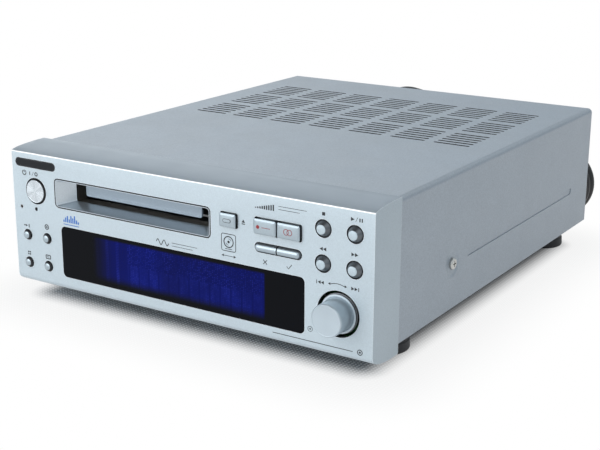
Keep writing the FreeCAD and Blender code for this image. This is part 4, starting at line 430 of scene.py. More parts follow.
class Effects:
    """Node groups that several finishes share, each built once."""

    made: dict[str, bpy.types.NodeTree] = {}
    takes: dict[str, dict[str, float]] = {  # inputs and their defaults, after the place
        "grain": {"Pitch": 1.0, "Tint": 0.05, "Cloud": 20.0},
        "flake": {"Pitch": 0.3, "Tint": 0.1},
        "rubbed_and_highlit_edges": {"Width": 0.4, "Amount": 0.5, "Even": 0.0},
        "dust": {"Amount": 0.2},
    }

    @classmethod
    def tree(cls, name: str) -> bpy.types.NodeTree:
        """The group's tree, built at its first use."""
        if name not in cls.made:
            tree = cls.made[name] = bpy.data.node_groups.new(name, "ShaderNodeTree")
            tree.interface.new_socket("Place", in_out="INPUT", socket_type="NodeSocketVector")
            for key, value in cls.takes[name].items():
                socket = tree.interface.new_socket(key, in_out="INPUT", socket_type="NodeSocketFloat")
                socket.default_value = value
            net = Net(tree)
            sockets = net.add("NodeGroupInput").outputs
            given = [Value(net, sockets[key]) for key in ("Place", *cls.takes[name])]
            gives = getattr(cls, name)(net, *given)
            for key in gives:
                tree.interface.new_socket(key, in_out="OUTPUT", socket_type="NodeSocketFloat")
            net.add("NodeGroupOutput", gives)
        return cls.made[name]

    @classmethod
    def use(cls, net: Net, name: str, **feeds: Any) -> list[Value]:
        """Places a group in a material and gives its outputs.

        Args:
            net: the material's net.
            name: which effect.
            feeds: values for its inputs.

        Returns:
            The outputs of the placed group.
        """
        node = net.add("Group", node_tree=cls.tree(name))
        for key, value in feeds.items():
            net.join(value, node.inputs[key])
        return [Value(net, socket) for socket in node.outputs]

    @staticmethod
    def grain(net: Net, place: Value, pitch: Value, tint: Value, cloud: Value) -> dict[str, Value]:
        """Fine surface grain: two octaves of noise as a height, and a slow cloud as a shade round 1."""
        fine = net.noise(place, pitch, 3.0, 0.6)
        slow = net.noise(place, cloud, 3.0)
        return {"Height": fine, "Shade": ((fine + slow) * 0.5 - 0.5) * tint * 2.0 + 1.0}

    @staticmethod
    def flake(net: Net, place: Value, pitch: Value, tint: Value) -> dict[str, Value]:
        """Metallic flake: random cells, each with its own shade round 1 and its own height."""
        cells = net.get("TexVoronoi", "Color", {"Vector": place, "Scale": 1.0 / pitch})
        value = net.get("SeparateColor", 0, {0: cells})
        return {"Height": value, "Shade": (value - 0.5) * tint + 1.0}

    @staticmethod
    def rubbed_and_highlit_edges(net: Net, place: Value, width: Value, amount: Value, even: Value) -> dict[str, Value]:
        """Edges rubbed pale where the rounded normal leaves the true one, broken up by noise except for a share that
        runs unbroken along every edge as a painted highlight.
        """
        soft = net.get("Bevel", 0, {"Radius": width * MM}, samples=4)
        edge = net.eased(1.0 - net.vector("DOT_PRODUCT", soft, net.normal()), 0.01, 0.12)
        patch = net.math("MAXIMUM", net.eased(net.noise(place, 3.0, 4.0), 0.35, 0.65), even)
        return {"Mask": net.math("MULTIPLY", edge * patch, amount, clamp=True)}

    @staticmethod
    def dust(net: Net, place: Value, amount: Value) -> dict[str, Value]:
        """Settled dust: on faces that look up, in slow drifts with specks."""
        up = net.eased(net.split(net.normal())[2], 0.2, 0.95)
        drift = net.eased(net.noise(place, 34.0, 5.0, 0.62), 0.38, 0.72)
        speck = net.eased(net.noise(place, 1.1, 1.0), 0.66, 0.74)
        return {"Mask": net.math("MULTIPLY", up * (drift * 0.6 + speck * 0.5), amount, clamp=True)}


# ---------------------------------------------------------------- finishes
@dataclass(frozen=True)
class Finish:
    """One finish: a Principled surface with grain, cloudy tint, rubbed edges whose unbroken share is a painted
    highlight, and dust.
    """

    name: str
    colour: Colour
    metallic: float = 0.0
    roughness: float = 0.5
    pitch: float = 0.8  # of the grain, mm
    relief: float = 0.02  # of the grain, mm
    tint: float = 0.06
    cloud: float = 25.0
    # amount and tone of the edge mask: rubbed paint, and in its unbroken share a painted highlight
    wear: float = 0.0
    even: float = 0.0  # share of the edge mask that runs unbroken along every edge, as a painted highlight
    rubbed_and_highlit_tone: Colour = shade_of(235, 238, 240)
    dust: float = 0.0
    settled: Colour = shade_of(205, 203, 198)  # colour of the dust
    coat: float = 0.0
    specular: float = 0.5
    uneven: float = 0.06  # swing of the roughness

    def pattern(self, net: Net, place: Value) -> tuple[Value, Value]:
        """Colour and height over the surface, before wear and dust."""
        feeds = {"Place": place, "Pitch": self.pitch, "Tint": self.tint, "Cloud": self.cloud}
        height, shade = Effects.use(net, "grain", **feeds)
        return net.shaded(self.colour, shade), height

    def extras(self, net: Net, shader: bpy.types.Node) -> None:
        """Settings of the shader that only some finishes have."""

    def material(self) -> bpy.types.Material:
        """The finish's material, made at its first use and named after the finish."""
        name = self.name + "_finish"
        if name in bpy.data.materials:
            return bpy.data.materials[name]
        material = bpy.data.materials.new(name)
        net = Net.emptied(material)
        place = net.place()
        colour, height = self.pattern(net, place)
        # edge mask: rubbed paint where noise breaks it up, a painted highlight where it runs unbroken
        if self.wear:
            (mask,) = Effects.use(net, "rubbed_and_highlit_edges", Place=place, Width=0.35, Amount=self.wear, Even=self.even)
            colour = net.mixed(mask, colour, self.rubbed_and_highlit_tone)
        rough = (net.noise(place, 9.0, 3.0) - 0.5) * (2 * self.uneven) + self.roughness
        if self.dust:
            (mask,) = Effects.use(net, "dust", Place=place, Amount=self.dust)
            colour = net.mixed(mask, colour, self.settled)
            rough = rough + mask * 0.35
        relief = {"Height": height, "Distance": self.relief * MM, "Strength": 1.0}
        feeds = {
            "Base Color": colour,
            "Metallic": self.metallic,
            "Roughness": net.math("MAXIMUM", rough, 0.03),
            "Coat Weight": self.coat,
            "Coat Roughness": 0.08,
            "Specular IOR Level": self.specular,
            "Normal": net.get("Bump", 0, relief),
        }
        shader = net.add("BsdfPrincipled", feeds)
        self.extras(net, shader)
        net.add("OutputMaterial", {0: Value(net, shader.outputs[0])})
        return material


@dataclass(frozen=True)
class FlakePaint(Finish):
    """Silver paint with fine metallic flake."""

    flake: float = 0.1
    flake_pitch: float = 0.35

    def pattern(self, net: Net, place: Value) -> tuple[Value, Value]:
        """The grain's colour with each flake's own shade, and both heights."""
        colour, height = super().pattern(net, place)
        lift, shade = Effects.use(net, "flake", Place=place, Pitch=self.flake_pitch, Tint=self.flake)
        return net.shaded(colour, shade), height * 0.6 + lift * 0.4


@dataclass(frozen=True)
class WalledPaint(FlakePaint):
    """Paint with a painted shade on the sides of the openings in a shell, all of which lie in one box, and above a
    given height a painted highlight on the face's upper edge and a painted shade on the faces that look up.
    """

    # painted shade on the sides of the openings
    painted_opening_shade: Colour = shade_of(46, 48, 50)
    low: Point = (0.0, 0.0, 0.0)
    high: Point = (0.0, 0.0, 0.0)
    level: float = 2.0  # faces whose normal's height is past this stay as they are
    painted_light_from: float = 0.0  # height above which the face's upper edge gets a painted highlight and the faces that look up a painted shade
    bare: Colour = shade_of(255, 255, 255)  # painted highlight of that edge
    crown: Colour = shade_of(169, 179, 187)  # painted shade of the faces above it that look up

    def pattern(self, net: Net, place: Value) -> tuple[Value, Value]:
        """The paint, with a painted shade on the sides of the openings in the box, and above a height a painted
        highlight on the face's upper edge and a painted shade on the faces that look up.
        """
        colour, height = super().pattern(net, place)
        parts = net.split(place)
        up = net.split(net.normal())[2]
        mask = abs(up) < self.level
        for part, low, high in zip(parts, self.low, self.high):
            mask = mask * (part > low) * (part < high)
        # painted shade on the sides of the openings inside the box
        colour = net.mixed(mask, colour, self.painted_opening_shade)
        # above the height: painted highlight on the face's upper edge, painted shade on the faces that look up
        if self.painted_light_from:
            above = parts[2] > self.painted_light_from
            colour = net.mixed(above * (parts[1] < FACE_Y + 0.3), colour, self.bare)
            colour = net.mixed(above * net.eased(up, 0.7, 0.96), colour, self.crown)
        return colour, height


@dataclass(frozen=True)
class RimmedPaint(WalledPaint):
    """Paint of a frame seated in an opening, with a painted shade along its outermost edge where it meets the panel.
    """

    middle: Pair = (0.0, 0.0)  # of the frame's outline
    half: Pair = (10.0, 10.0)
    corner: float = 1.0
    # painted shade along the outermost edge
    painted_seam_shade: Colour = shade_of(20, 26, 34)
    edge: float = 0.2  # width of the painted shade along the outer edge

    def pattern(self, net: Net, place: Value) -> tuple[Value, Value]:
        """Painted shade where the distance past the rounded outline's corner centres is more than the corner less the
        edge.
        """
        colour, height = super().pattern(net, place)
        spots = zip(net.split(place)[::2], self.middle, self.half)
        across, up = (net.math("MAXIMUM", abs(v - c) - (h - self.corner), 0.0) for v, c, h in spots)
        away = net.math("SQRT", across * across + up * up)
        return net.mixed(away > self.corner - self.edge, colour, self.painted_seam_shade), height


@dataclass(frozen=True)
class SpunMetal(Finish):
    """Turned metal: fine rings about an axis along Y, and a painted highlight of paler and darker wedges that fan out
    from it.
    """

    centre: Point = (0.0, 0.0, 0.0)
    rings: float = 0.16  # pitch of the tool marks, mm
    fan: float = 0.75
    painted_fan_highlight: float = 0.0  # swing of the painted highlight's wedges
    lean: float = 55.0  # direction of the brightest painted highlight wedge, degrees

    def pattern(self, net: Net, place: Value) -> tuple[Value, Value]:
        """Rings: noise of the distance from the axis. Painted highlight wedges: noise of the doubled direction's sine
        and cosine.
        """
        colour, _ = super().pattern(net, place)
        spoke = net.place(self.centre, (1, 0, 1))
        marks = net.noise(net.get("CombineXYZ", 0, {0: net.vector("LENGTH", spoke)}), self.rings, 3.0, 0.7)
        colour = net.shaded(colour, net.eased(marks, 0.25, 0.75, 0.93, 1.05))
        if not self.painted_fan_highlight:
            return colour, marks
        # painted highlight: paler and darker wedges fanned about the axis
        across, _, up = net.split(net.vector("NORMALIZE", spoke))
        sine, cosine = across * up * 2.0, across * across * 2.0 - 1.0
        turn = math.radians(2 * self.lean)
        facing = net.eased(cosine * math.cos(turn) + sine * math.sin(turn), 0.6, 1.0, 0.0, 0.7)
        rough = net.noise(net.get("CombineXYZ", 0, {0: cosine, 1: sine}), 0.55, 3.0)
        bright = facing + net.eased(rough, 0.35, 0.65, -0.35, 0.35)
        return net.shaded(colour, bright * self.painted_fan_highlight + (1.0 - 0.2 * self.painted_fan_highlight)), marks

    def extras(self, net: Net, shader: bpy.types.Node) -> None:
        """Stretches the highlight across the rings."""
        shader.inputs["Anisotropic"].default_value = self.fan
        around = net.vector("CROSS_PRODUCT", net.place(self.centre, (1, 0, 1)), (0, 1, 0))
        net.join(net.vector("NORMALIZE", around), shader.inputs["Tangent"])


@dataclass(frozen=True)
class ZincSheet(Finish):
    """Galvanised sheet: broad pale and dark crystals."""

    crystal: float = 7.0

    def pattern(self, net: Net, place: Value) -> tuple[Value, Value]:
        """Crystals as large cells whose edges are broken by noise."""
        colour, height = super().pattern(net, place)
        bend = net.get("TexNoise", "Color", {"Vector": place, "Scale": 0.3, "Detail": 2.0})
        moved = net.vector("ADD", place, net.vector("MULTIPLY", bend, (4, 4, 4)))
        _, shade = Effects.use(net, "flake", Place=moved, Pitch=self.crystal, Tint=0.22)
        return net.shaded(colour, shade), height


@dataclass(frozen=True)
class DisplayGlass(Finish):
    """Smoked window over a blue fluorescent display with a faint dot matrix."""

    left: float = -49.0
    right: float = 47.6
    low: float = 19.4
    high: float = 40.9
    cell: Pair = (0.95, 0.8)  # pitch of the dots
    glow: Colour = shade_of(0, 10, 84)
    lit: Colour = shade_of(32, 44, 152)
    strength: float = 0.48  # of what is lit
    parting: Pair = (30.2, 31.0)  # heights between the columns below and the dots above
    column: float = 5.9  # pitch of the columns
    start: Pair = (-31.0, -30.0)  # where columns and dots set in
    meter: float = -43.0  # middle of the bars at the left
    meter_half: float = 3.2
    meter_end: Pair = (-33.6, -34.0)

    def pattern(self, net: Net, place: Value) -> tuple[Value, Value]:
        """A blue field with soft ends, on which rows of dots and broad columns stand out a little."""
        colour, height = super().pattern(net, place)
        x, _, z = net.split(place)
        inside = 1.0
        for value, start, end in (
            (x, self.left - 4.0, self.left + 12.0),
            (x, self.right + 0.5, self.right - 0.5),
            (z, self.low - 0.6, self.low + 4.2),
            (z, self.high + 0.7, self.high - 0.7),
        ):
            inside = net.eased(value, start, end) * inside
        steps = x / self.cell[0], z / self.cell[1]
        across, down = (net.eased(net.wave(step), 0.1, 0.3) for step in steps)
        whole = {axis: net.math("FLOOR", step) for axis, step in enumerate(steps)}
        chance = net.get("TexWhiteNoise", "Value", {"Vector": net.get("CombineXYZ", 0, whole)})
        spot = across * down * net.eased(chance, 0.35, 0.6, 0.15, 1.0)
        upper = net.eased(z, *self.parting)
        lower = (spot * 0.6 + 0.32) * net.eased(net.wave(x / self.column), 0.04, 0.12, 0.1, 1.0) * (1.0 - upper)
        bars = net.eased(net.wave(x - self.meter, self.meter_half), 1.2, 0.6) * down * net.eased(x, *self.meter_end)
        main = net.eased(x, *self.start) * (spot * upper + lower)
        blocks = net.get("TexNoise", 0, {"Vector": net.place((0, 0, 0), (1, 1, 0.4)), "Scale": 0.16, "Detail": 2.0})
        uneven = net.eased(blocks, 0.36, 0.66, 0.35, 1.0) * self.strength
        blue = net.mixed(net.math("MULTIPLY", main + bars, uneven, clamp=True), self.glow, self.lit)
        drift = net.eased(net.noise(place, 30.0, 1.0), 0.3, 0.7, 0.8, 1.15)
        return net.mixed(inside, colour, net.shaded(blue, drift)), height


@dataclass(frozen=True)
class Laminate(Finish):
    """Circuit board: solder mask over a grid of tracks, with pads."""

    copper: Colour = shade_of(74, 128, 66)  # of tracks under the mask
    tin: Colour = shade_of(176, 176, 168)  # of pads

    def pattern(self, net: Net, place: Value) -> tuple[Value, Value]:
        """Tracks as thin lines between large cells, and pads as small dots."""
        colour, height = super().pattern(net, place)
        kind = {"distance": "MANHATTAN", "feature": "DISTANCE_TO_EDGE"}
        track = net.eased(net.get("TexVoronoi", "Distance", {"Vector": place, "Scale": 0.16}, **kind), 0.09, 0.05)
        dots = net.get("TexVoronoi", "Distance", {"Vector": place, "Scale": 0.42, "Randomness": 0.5})
        green = net.mixed(track * 0.5, colour, self.copper)
        return net.mixed(net.eased(dots, 0.3, 0.22) * 0.7, green, self.tin), height + track * 2.0


@dataclass(frozen=True)
class Banded(Finish):
    """Strips laid side by side along one axis, such as cable cores, windings or stacked plates."""

    axis: int = 0
    band: float = 1.2
    second: Colour = shade_of(120, 120, 120)

    def pattern(self, net: Net, place: Value) -> tuple[Value, Value]:
        """A ripple across the bands, dark between them."""
        colour, height = super().pattern(net, place)
        ripple = net.wave(net.split(place)[self.axis] / self.band)
        lifted = height * 0.3 + net.eased(ripple, 0.0, 0.3)
        return net.mixed(net.eased(ripple, 0.12, 0.0), colour, self.second), lifted


class Finishes:
    """The deck's finishes, by the record's slots and a few of their own."""

    # Panel: a painted highlight along its rounded edges and its face's upper edge, and a painted shade on the sides
    # of its openings and on its top
    PANEL = WalledPaint(
        "panel_silver", srgb(186, 198, 205), 0.35, 0.38, pitch=0.5, relief=0.006, tint=0.05, wear=0.8, even=0.9,
        rubbed_and_highlit_tone=srgb(250, 253, 255), dust=0.05, painted_opening_shade=srgb(60, 65, 72), low=(-100.3, FACE_Y + 0.04, 15.0),
        high=(100.3, 0.0, 76.0), painted_light_from=76.6,
    )
    # Bezel: a painted shade in the throat beyond the funnel and along the rim's outer edge
    BEZEL = RimmedPaint(
        "bezel_silver", srgb(188, 197, 204), 0.85, 0.3, pitch=0.6, relief=0.003, tint=0.04, painted_opening_shade=srgb(160, 156, 150),
        low=(-100.0, FACE_Y + 8.2, 0.0), high=(100.0, 0.0, 90.0), middle=(-28.054, 59.300), half=(46.700, 7.050),
        corner=2.15, edge=0.24,
    )
    DOOR = FlakePaint("door_silver", srgb(150, 164, 176), 0.3, 0.34, pitch=0.6, relief=0.004, tint=0.04)
    WINDOW = DisplayGlass(
        "window_smoke", srgb(6, 8, 13), 0.0, 0.1, pitch=4.0, relief=0.001, tint=0.1, specular=0.07, uneven=0.02
    )
    BADGE = Finish(
        "badge_dark", srgb(24, 27, 31), 0.0, 0.2, pitch=3.0, relief=0.002, specular=0.2, wear=0.6,
        rubbed_and_highlit_tone=srgb(126, 132, 138),
    )
    # Power cap: its fanned wedges are a painted highlight
    POWER = SpunMetal(
        "spun_metal", srgb(206, 214, 220), 0.8, 0.26, relief=0.003, tint=0.03, centre=(-87.4, 0, 58.2), fan=0.8,
        painted_fan_highlight=0.16,
    )
    JOG = SpunMetal(
        "spun_dial", srgb(182, 194, 202), 0.6, 0.36, relief=0.002, tint=0.03, centre=(85.35, 0, 30.0), fan=0.3
    )
    KEY = FlakePaint("key_silver", srgb(166, 179, 187), 0.75, 0.32, pitch=0.5, relief=0.001, tint=0.04, uneven=0.02)
    # Shaded and lit copies of the key silver: a painted shade on key sides, barrels, bands and the jog's flange, a
    # deeper painted shade on the power barrel and round the domes, and a painted light on the cones' faces
    KEY_SIDE = FlakePaint("key_painted_shade", srgb(104, 108, 112), 0.8, 0.3, pitch=0.5, relief=0.002, uneven=0.02)
    KEY_TOP = FlakePaint("key_top", srgb(182, 196, 204), 0.7, 0.34, pitch=0.5, relief=0.001, tint=0.04, uneven=0.02)
    KEY_DEEP_PAINTED_SHADE = FlakePaint("key_barrel_painted_shade", srgb(46, 46, 48), 0.5, 0.34, pitch=0.5, relief=0.002)
    LAMP = Finish("lamp_dark", srgb(30, 14, 16), 0.0, 0.15, pitch=0.4, relief=0.002, coat=0.4)
    STEEL = Finish("ground_steel", srgb(190, 192, 194), 1.0, 0.22, pitch=0.3, relief=0.002, tint=0.04)
    HOUSING = Finish(
        "housing_black", srgb(30, 31, 33), 0.0, 0.45, pitch=0.35, relief=0.008, tint=0.12, wear=0.3,
        rubbed_and_highlit_tone=srgb(90, 90, 92), dust=0.15,
    )
    WHITE = Finish("sleeve_white", srgb(226, 224, 214), 0.0, 0.4, pitch=0.6, relief=0.004, tint=0.05)
    BOARD = Laminate("board_green", srgb(38, 92, 52), 0.0, 0.34, tint=0.1, dust=0.2)
    TUBE = Finish("tube_glass", srgb(36, 40, 48), 0.0, 0.08, pitch=2.0, relief=0.001, coat=0.8)
    # Cover: a painted shade on the sides of its vent slots
    COVER = WalledPaint(
        "cover_paint", srgb(177, 186, 194), 0.25, 0.42, pitch=0.42, tint=0.08, flake=0.16, flake_pitch=0.45,
        wear=0.25, dust=0.18, low=(-98.0, -122.0, 77.3), high=(98.0, 122.0, 90.0), level=0.5,
    )
    ZINC = ZincSheet("zinc_sheet", srgb(168, 172, 174), 0.75, 0.38, pitch=0.7, relief=0.004, tint=0.08, wear=0.3)
    REAR = FlakePaint("rear_paint", srgb(146, 150, 153), 0.1, 0.5, pitch=0.42, tint=0.08, flake=0.12, wear=0.3)
    FOOT = Finish(
        "foot_black", srgb(20, 22, 27), 0.0, 0.6, pitch=0.5, tint=0.2, wear=0.25, rubbed_and_highlit_tone=srgb(60, 62, 66), dust=0.12
    )
    SCREW = Finish("screw_zinc", srgb(186, 187, 184), 0.95, 0.28, pitch=0.4, relief=0.004, tint=0.1, wear=0.3)
    CAN = Finish("can_black", srgb(28, 30, 40), 0.0, 0.3, relief=0.004, tint=0.1, coat=0.3, dust=0.2)
    FIN = Banded(
        "fin_aluminium", srgb(152, 155, 158), 0.9, 0.34, pitch=0.3, relief=0.01, axis=2, band=0.5,
        second=srgb(128, 130, 134),
    )
    CORE = Banded(
        "core_steel", srgb(92, 92, 94), 0.6, 0.5, pitch=0.6, relief=0.03, tint=0.15, axis=1, band=0.7,
        second=srgb(50, 50, 52),
    )
    WINDING = Banded(
        "winding_tape", srgb(214, 178, 84), 0.0, 0.35, pitch=1.2, relief=0.03, tint=0.12, axis=2, band=3.0,
        second=srgb(150, 116, 44), coat=0.3,
    )
    CABLE = Banded(
        "cable_grey", srgb(196, 198, 198), 0.0, 0.45, relief=0.06, tint=0.05, band=1.25, second=srgb(122, 124, 126)
    )
    MOTOR = Finish("motor_steel", srgb(172, 174, 176), 0.95, 0.26, pitch=0.4, relief=0.004, wear=0.2)
    CORD = Finish("cord_black", srgb(26, 26, 28), 0.0, 0.5, pitch=0.7, tint=0.18, dust=0.12)
    TIE = Banded(
        "tie_black", srgb(30, 30, 34), 0.0, 0.8, pitch=0.3, relief=0.12, tint=0.3, band=0.5, second=srgb(14, 14, 16)
    )
    INK = Finish("print_grey", srgb(22, 26, 32), 0.0, 0.5, pitch=0.5, relief=0.003, tint=0.15)
    INK_BLUE = Finish("print_blue", srgb(30, 98, 178), 0.0, 0.45, pitch=0.5, relief=0.003, tint=0.12)
    INK_RED = Finish("print_red", srgb(140, 34, 40), 0.0, 0.45, pitch=0.5, relief=0.003, tint=0.12)
    PLATED = Finish("contact_plating", srgb(222, 205, 160), 1.0, 0.2, pitch=0.4, relief=0.002)
    SOCKET_RED = Finish("socket_red", srgb(186, 40, 36), 0.0, 0.35, pitch=0.5, relief=0.004)
    SOCKET_WHITE = Finish("socket_white", srgb(228, 228, 222), 0.0, 0.35, pitch=0.5, relief=0.004, tint=0.05)


# ---------------------------------------------------------------- fitting pieces to the frame
class Bench:
    """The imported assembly, and what is done with each finished piece."""

    LEVEL = math.radians(0.6)  # between triangles that count as one flat face
    BAKED = ("custom_normal", "sharp_edge", "sharp_face")  # shading that a refined copy leaves behind

    def __init__(self, frame: dict[str, Any]) -> None:
        """Keeps the frame's nodes and the slot each one names."""
        self.nodes: dict[str, bpy.types.Object] = frame["nodes"]
        self.slots = {n: o.material_slots[0].material.name.split(".")[0] for n, o in self.nodes.items()}
        self.low_high = {n: np.array(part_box(n)) / MM for n in self.nodes}

    def seen(self, node: str) -> tuple[float, float, float, float]:
        """Middle x and z, width and height of a node's box, in millimetres."""
        low, high = self.low_high[node]
        x, _, z = (low + high) / 2
        width, _, height = high - low
        return x, z, width, height

    def fit(self, piece: bpy.types.Object, finishes: Sequence[Finish], *nodes: str, instead: bool = True) -> None:
        """Dresses a piece, lets it ride on the body of its first node and stand for its nodes.

        Args:
            piece: the finished object.
            finishes: one for each of its material indices.
            nodes: the nodes that it belongs to.
            instead: whether it replaces them.
        """
        for finish in finishes:
            piece.data.materials.append(finish.material())
        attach(piece, self.nodes[nodes[0]]["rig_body"])
        if instead:
            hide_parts(*nodes)
        LOG.info("%s for %s", piece.name, ", ".join(nodes))

    def dress(self, finish: Finish, *nodes: str) -> None:
        """Gives carried-over nodes a finish."""
        for node in nodes:
            for slot in self.nodes[node].material_slots:
                slot.material = finish.material()

    def refine(self, node: str, finish: Finish, width: float, flat: bool = True, crease: float = 28.0) -> None:
        """Fits a merged copy of a node with rounded edges in its place.

        Args:
            node: the node to copy.
            finish: its finish.
            width: width of the rounding, mm.
            flat: whether the triangles of a flat face are joined; not for sheets full of slots.
            crease: degrees past which an edge is rounded.
        """
        mesh = self.nodes[node].data.copy()
        mesh.materials.clear()
        mesh.name = name = node + "_skin"
        work = bmesh.new()
        work.from_mesh(mesh)
        bmesh.ops.remove_doubles(work, verts=work.verts, dist=WELD)
        if flat:
            joined = {"verts": work.verts, "edges": work.edges, "delimit": {"NORMAL"}}
            bmesh.ops.dissolve_limit(work, angle_limit=self.LEVEL, **joined)
        for face in work.faces:
            face.material_index = 0
        work.to_mesh(mesh)
        work.free()
        for attribute in [a for a in mesh.attributes if a.name in self.BAKED]:
            mesh.attributes.remove(attribute)
        mesh.shade_smooth()
        mesh.set_sharp_from_angle(angle=math.radians(crease))
        piece = linked(name, mesh)
        bevel = piece.modifiers.new("rounded_edges", "BEVEL")
        bevel.width = width * MM
        bevel.segments = 2
        bevel.limit_method = "ANGLE"
        bevel.angle_limit = math.radians(crease)
        bevel.harden_normals = True
        bevel.use_clamp_overlap = True
        self.fit(piece, (finish,), node)


# ---------------------------------------------------------------- front panel
@dataclass
class FrontPanel:
    """Front shell with its bare badge, display window and standby lamp."""

    shell_rounding: float = 0.4
    badge_depth: float = 0.6
    badge_corner: float = 9.0
    window_depth: float = 1.5
    window_back: float = 0.1  # behind the face
    window_corner: float = 2.4
    lamp_radius: float = 0.85

    def badge(self, bench: Bench) -> None:
        """Pill-shaped plate with a fine raised rim round a bare field."""
        x, z, width, height = bench.seen("badge_plate")
        rows = [(0, -self.badge_depth, 0), (0, 0.15, 0.12), (0.4, 0.15, 0.06), (0.55, 0.04, 0.06), (1.5, 0.04, 0)]
        form = Form("badge_pill").stack((width, height, self.badge_corner), rows, (x, FACE_Y, z), corner=14, steps=3)
        bench.fit(form.made(), (Finishes.BADGE,), "badge_plate")

    def window(self, bench: Bench) -> None:
        """Flat window whose front edge is rounded."""
        x, z, width, height = bench.seen("display_window")
        front = -self.window_back
        rows = [(0, front - self.window_depth + 0.1, 0), (0, front, 0.3), (0.8, front, 0)]
        form = Form("window_pane").stack((width, height, self.window_corner), rows, (x, FACE_Y, z), corner=10)
        bench.fit(form.made(), (Finishes.WINDOW,), "display_window")

    def lamp(self, bench: Bench) -> None:
        """Lens with a round nose on a wider body."""
        x, z, *_ = bench.seen("standby_lamp")
        nose = self.lamp_radius
        rows = [(0, -15, 0), (1.4, -15, 0.1), (1.4, -4.6, 0.2), (nose, -4.5, 0), (nose, -0.1, 0.4), (0, 0.1, 0)]
        form = Form("lamp_lens").turn(rows, (x, FACE_Y, z), segments=28)
        bench.fit(form.made(), (Finishes.LAMP,), "standby_lamp")

    def build(self, bench: Bench) -> None:
        """Makes the panel's pieces."""
        bench.refine("front_panel", Finishes.PANEL, self.shell_rounding)
        self.badge(bench)
        self.window(bench)
        self.lamp(bench)


class Ink(Form):
    """Marks printed on a face that looks forward, as films a few hundredths of a millimetre thick."""

    THICK = 0.03
    SUNK = 0.05
    LINE = 0.5

    def __init__(self, name: str, y: float = FACE_Y) -> None:
        """Starts without marks on the face at y."""
        super().__init__(name)
        self.y = y

    def film(self, points: np.ndarray, level: np.ndarray, ends: bool) -> None:
        """Adds a grid of (x, z) points lifted off the face to a level."""
        lifted = np.concatenate([points, np.broadcast_to(level, points.shape[:2] + (1,))], axis=-1)
        self.grid(seated(lifted, (0, self.y, 0), Facing.FRONT), ends=ends)

    def area(self, corners: Any) -> None:
        """Adds a filled outline, its corners anticlockwise as seen from the front."""
        ring = np.array(corners, float)
        self.film(np.stack([ring, ring]), np.array([-self.SUNK, self.THICK])[:, None, None], True)

    def disc(self, x: float, z: float, radius: float) -> None:
        """Adds a filled disc."""
        self.area(arc(x, z, radius, 0, 360, 28, True))

    def bar(self, x: float, z: float, width: float, height: float) -> None:
        """Adds a filled rectangle from its lower left corner."""
        self.area([(x, z), (x + width, z), (x + width, z + height), (x, z + height)])

    def stroke(self, points: Any, width: float = LINE, closed: bool = False) -> None:
        """Adds a line: its section, a flat rectangle, is carried along points (x, z)."""
        path = np.array(points, float)
        across = headings(path, closed)[:, ::-1] * (-width / 2, width / 2)
        sides = np.stack([path + across, path - across, path - across, path + across], axis=1)
        if closed:
            sides = np.concatenate([sides, sides[:1]])
        self.film(sides, np.array([-self.SUNK, -self.SUNK, self.THICK, self.THICK])[:, None], not closed)

    def level(self, x: float, z: float, end: float, width: float = LINE) -> None:
        """Adds a level line from x to its end."""
        self.stroke([(x, z), (end, z)], width)

    def post(self, x: float, z: float, end: float, width: float = LINE) -> None:
        """Adds an upright line from z to its end."""
        self.stroke([(x, z), (x, end)], width)

    def loop(
        self, x: float, z: float, radius: float, start: float = 0, sweep: float = 360, width: float = LINE
    ) -> None:
        """Adds an arc or ring: its line follows a circle from a start angle through a sweep, in degrees."""
        whole = sweep >= 360
        self.stroke(arc(x, z, radius, start, start + sweep, 33, whole), width, whole)

    def arrows(self, x: float, z: float, way: int, count: int, size: float = 0.85) -> None:
        """Adds solid arrowheads in a row from x on, which point left (-1) or right (1)."""
        for number in range(count):
            base = x + way * number * size * 2.0
            self.area([(base, z - size), (base + way * size * 1.9, z), (base, z + size)][::way])

    def box(self, x: float, z: float, width: float, height: float, radius: float, line: float = LINE) -> None:
        """Adds the line of a rectangle with round corners."""
        self.stroke(outline(width, height, radius, 5)[0] + np.array([x, z]), line, closed=True)


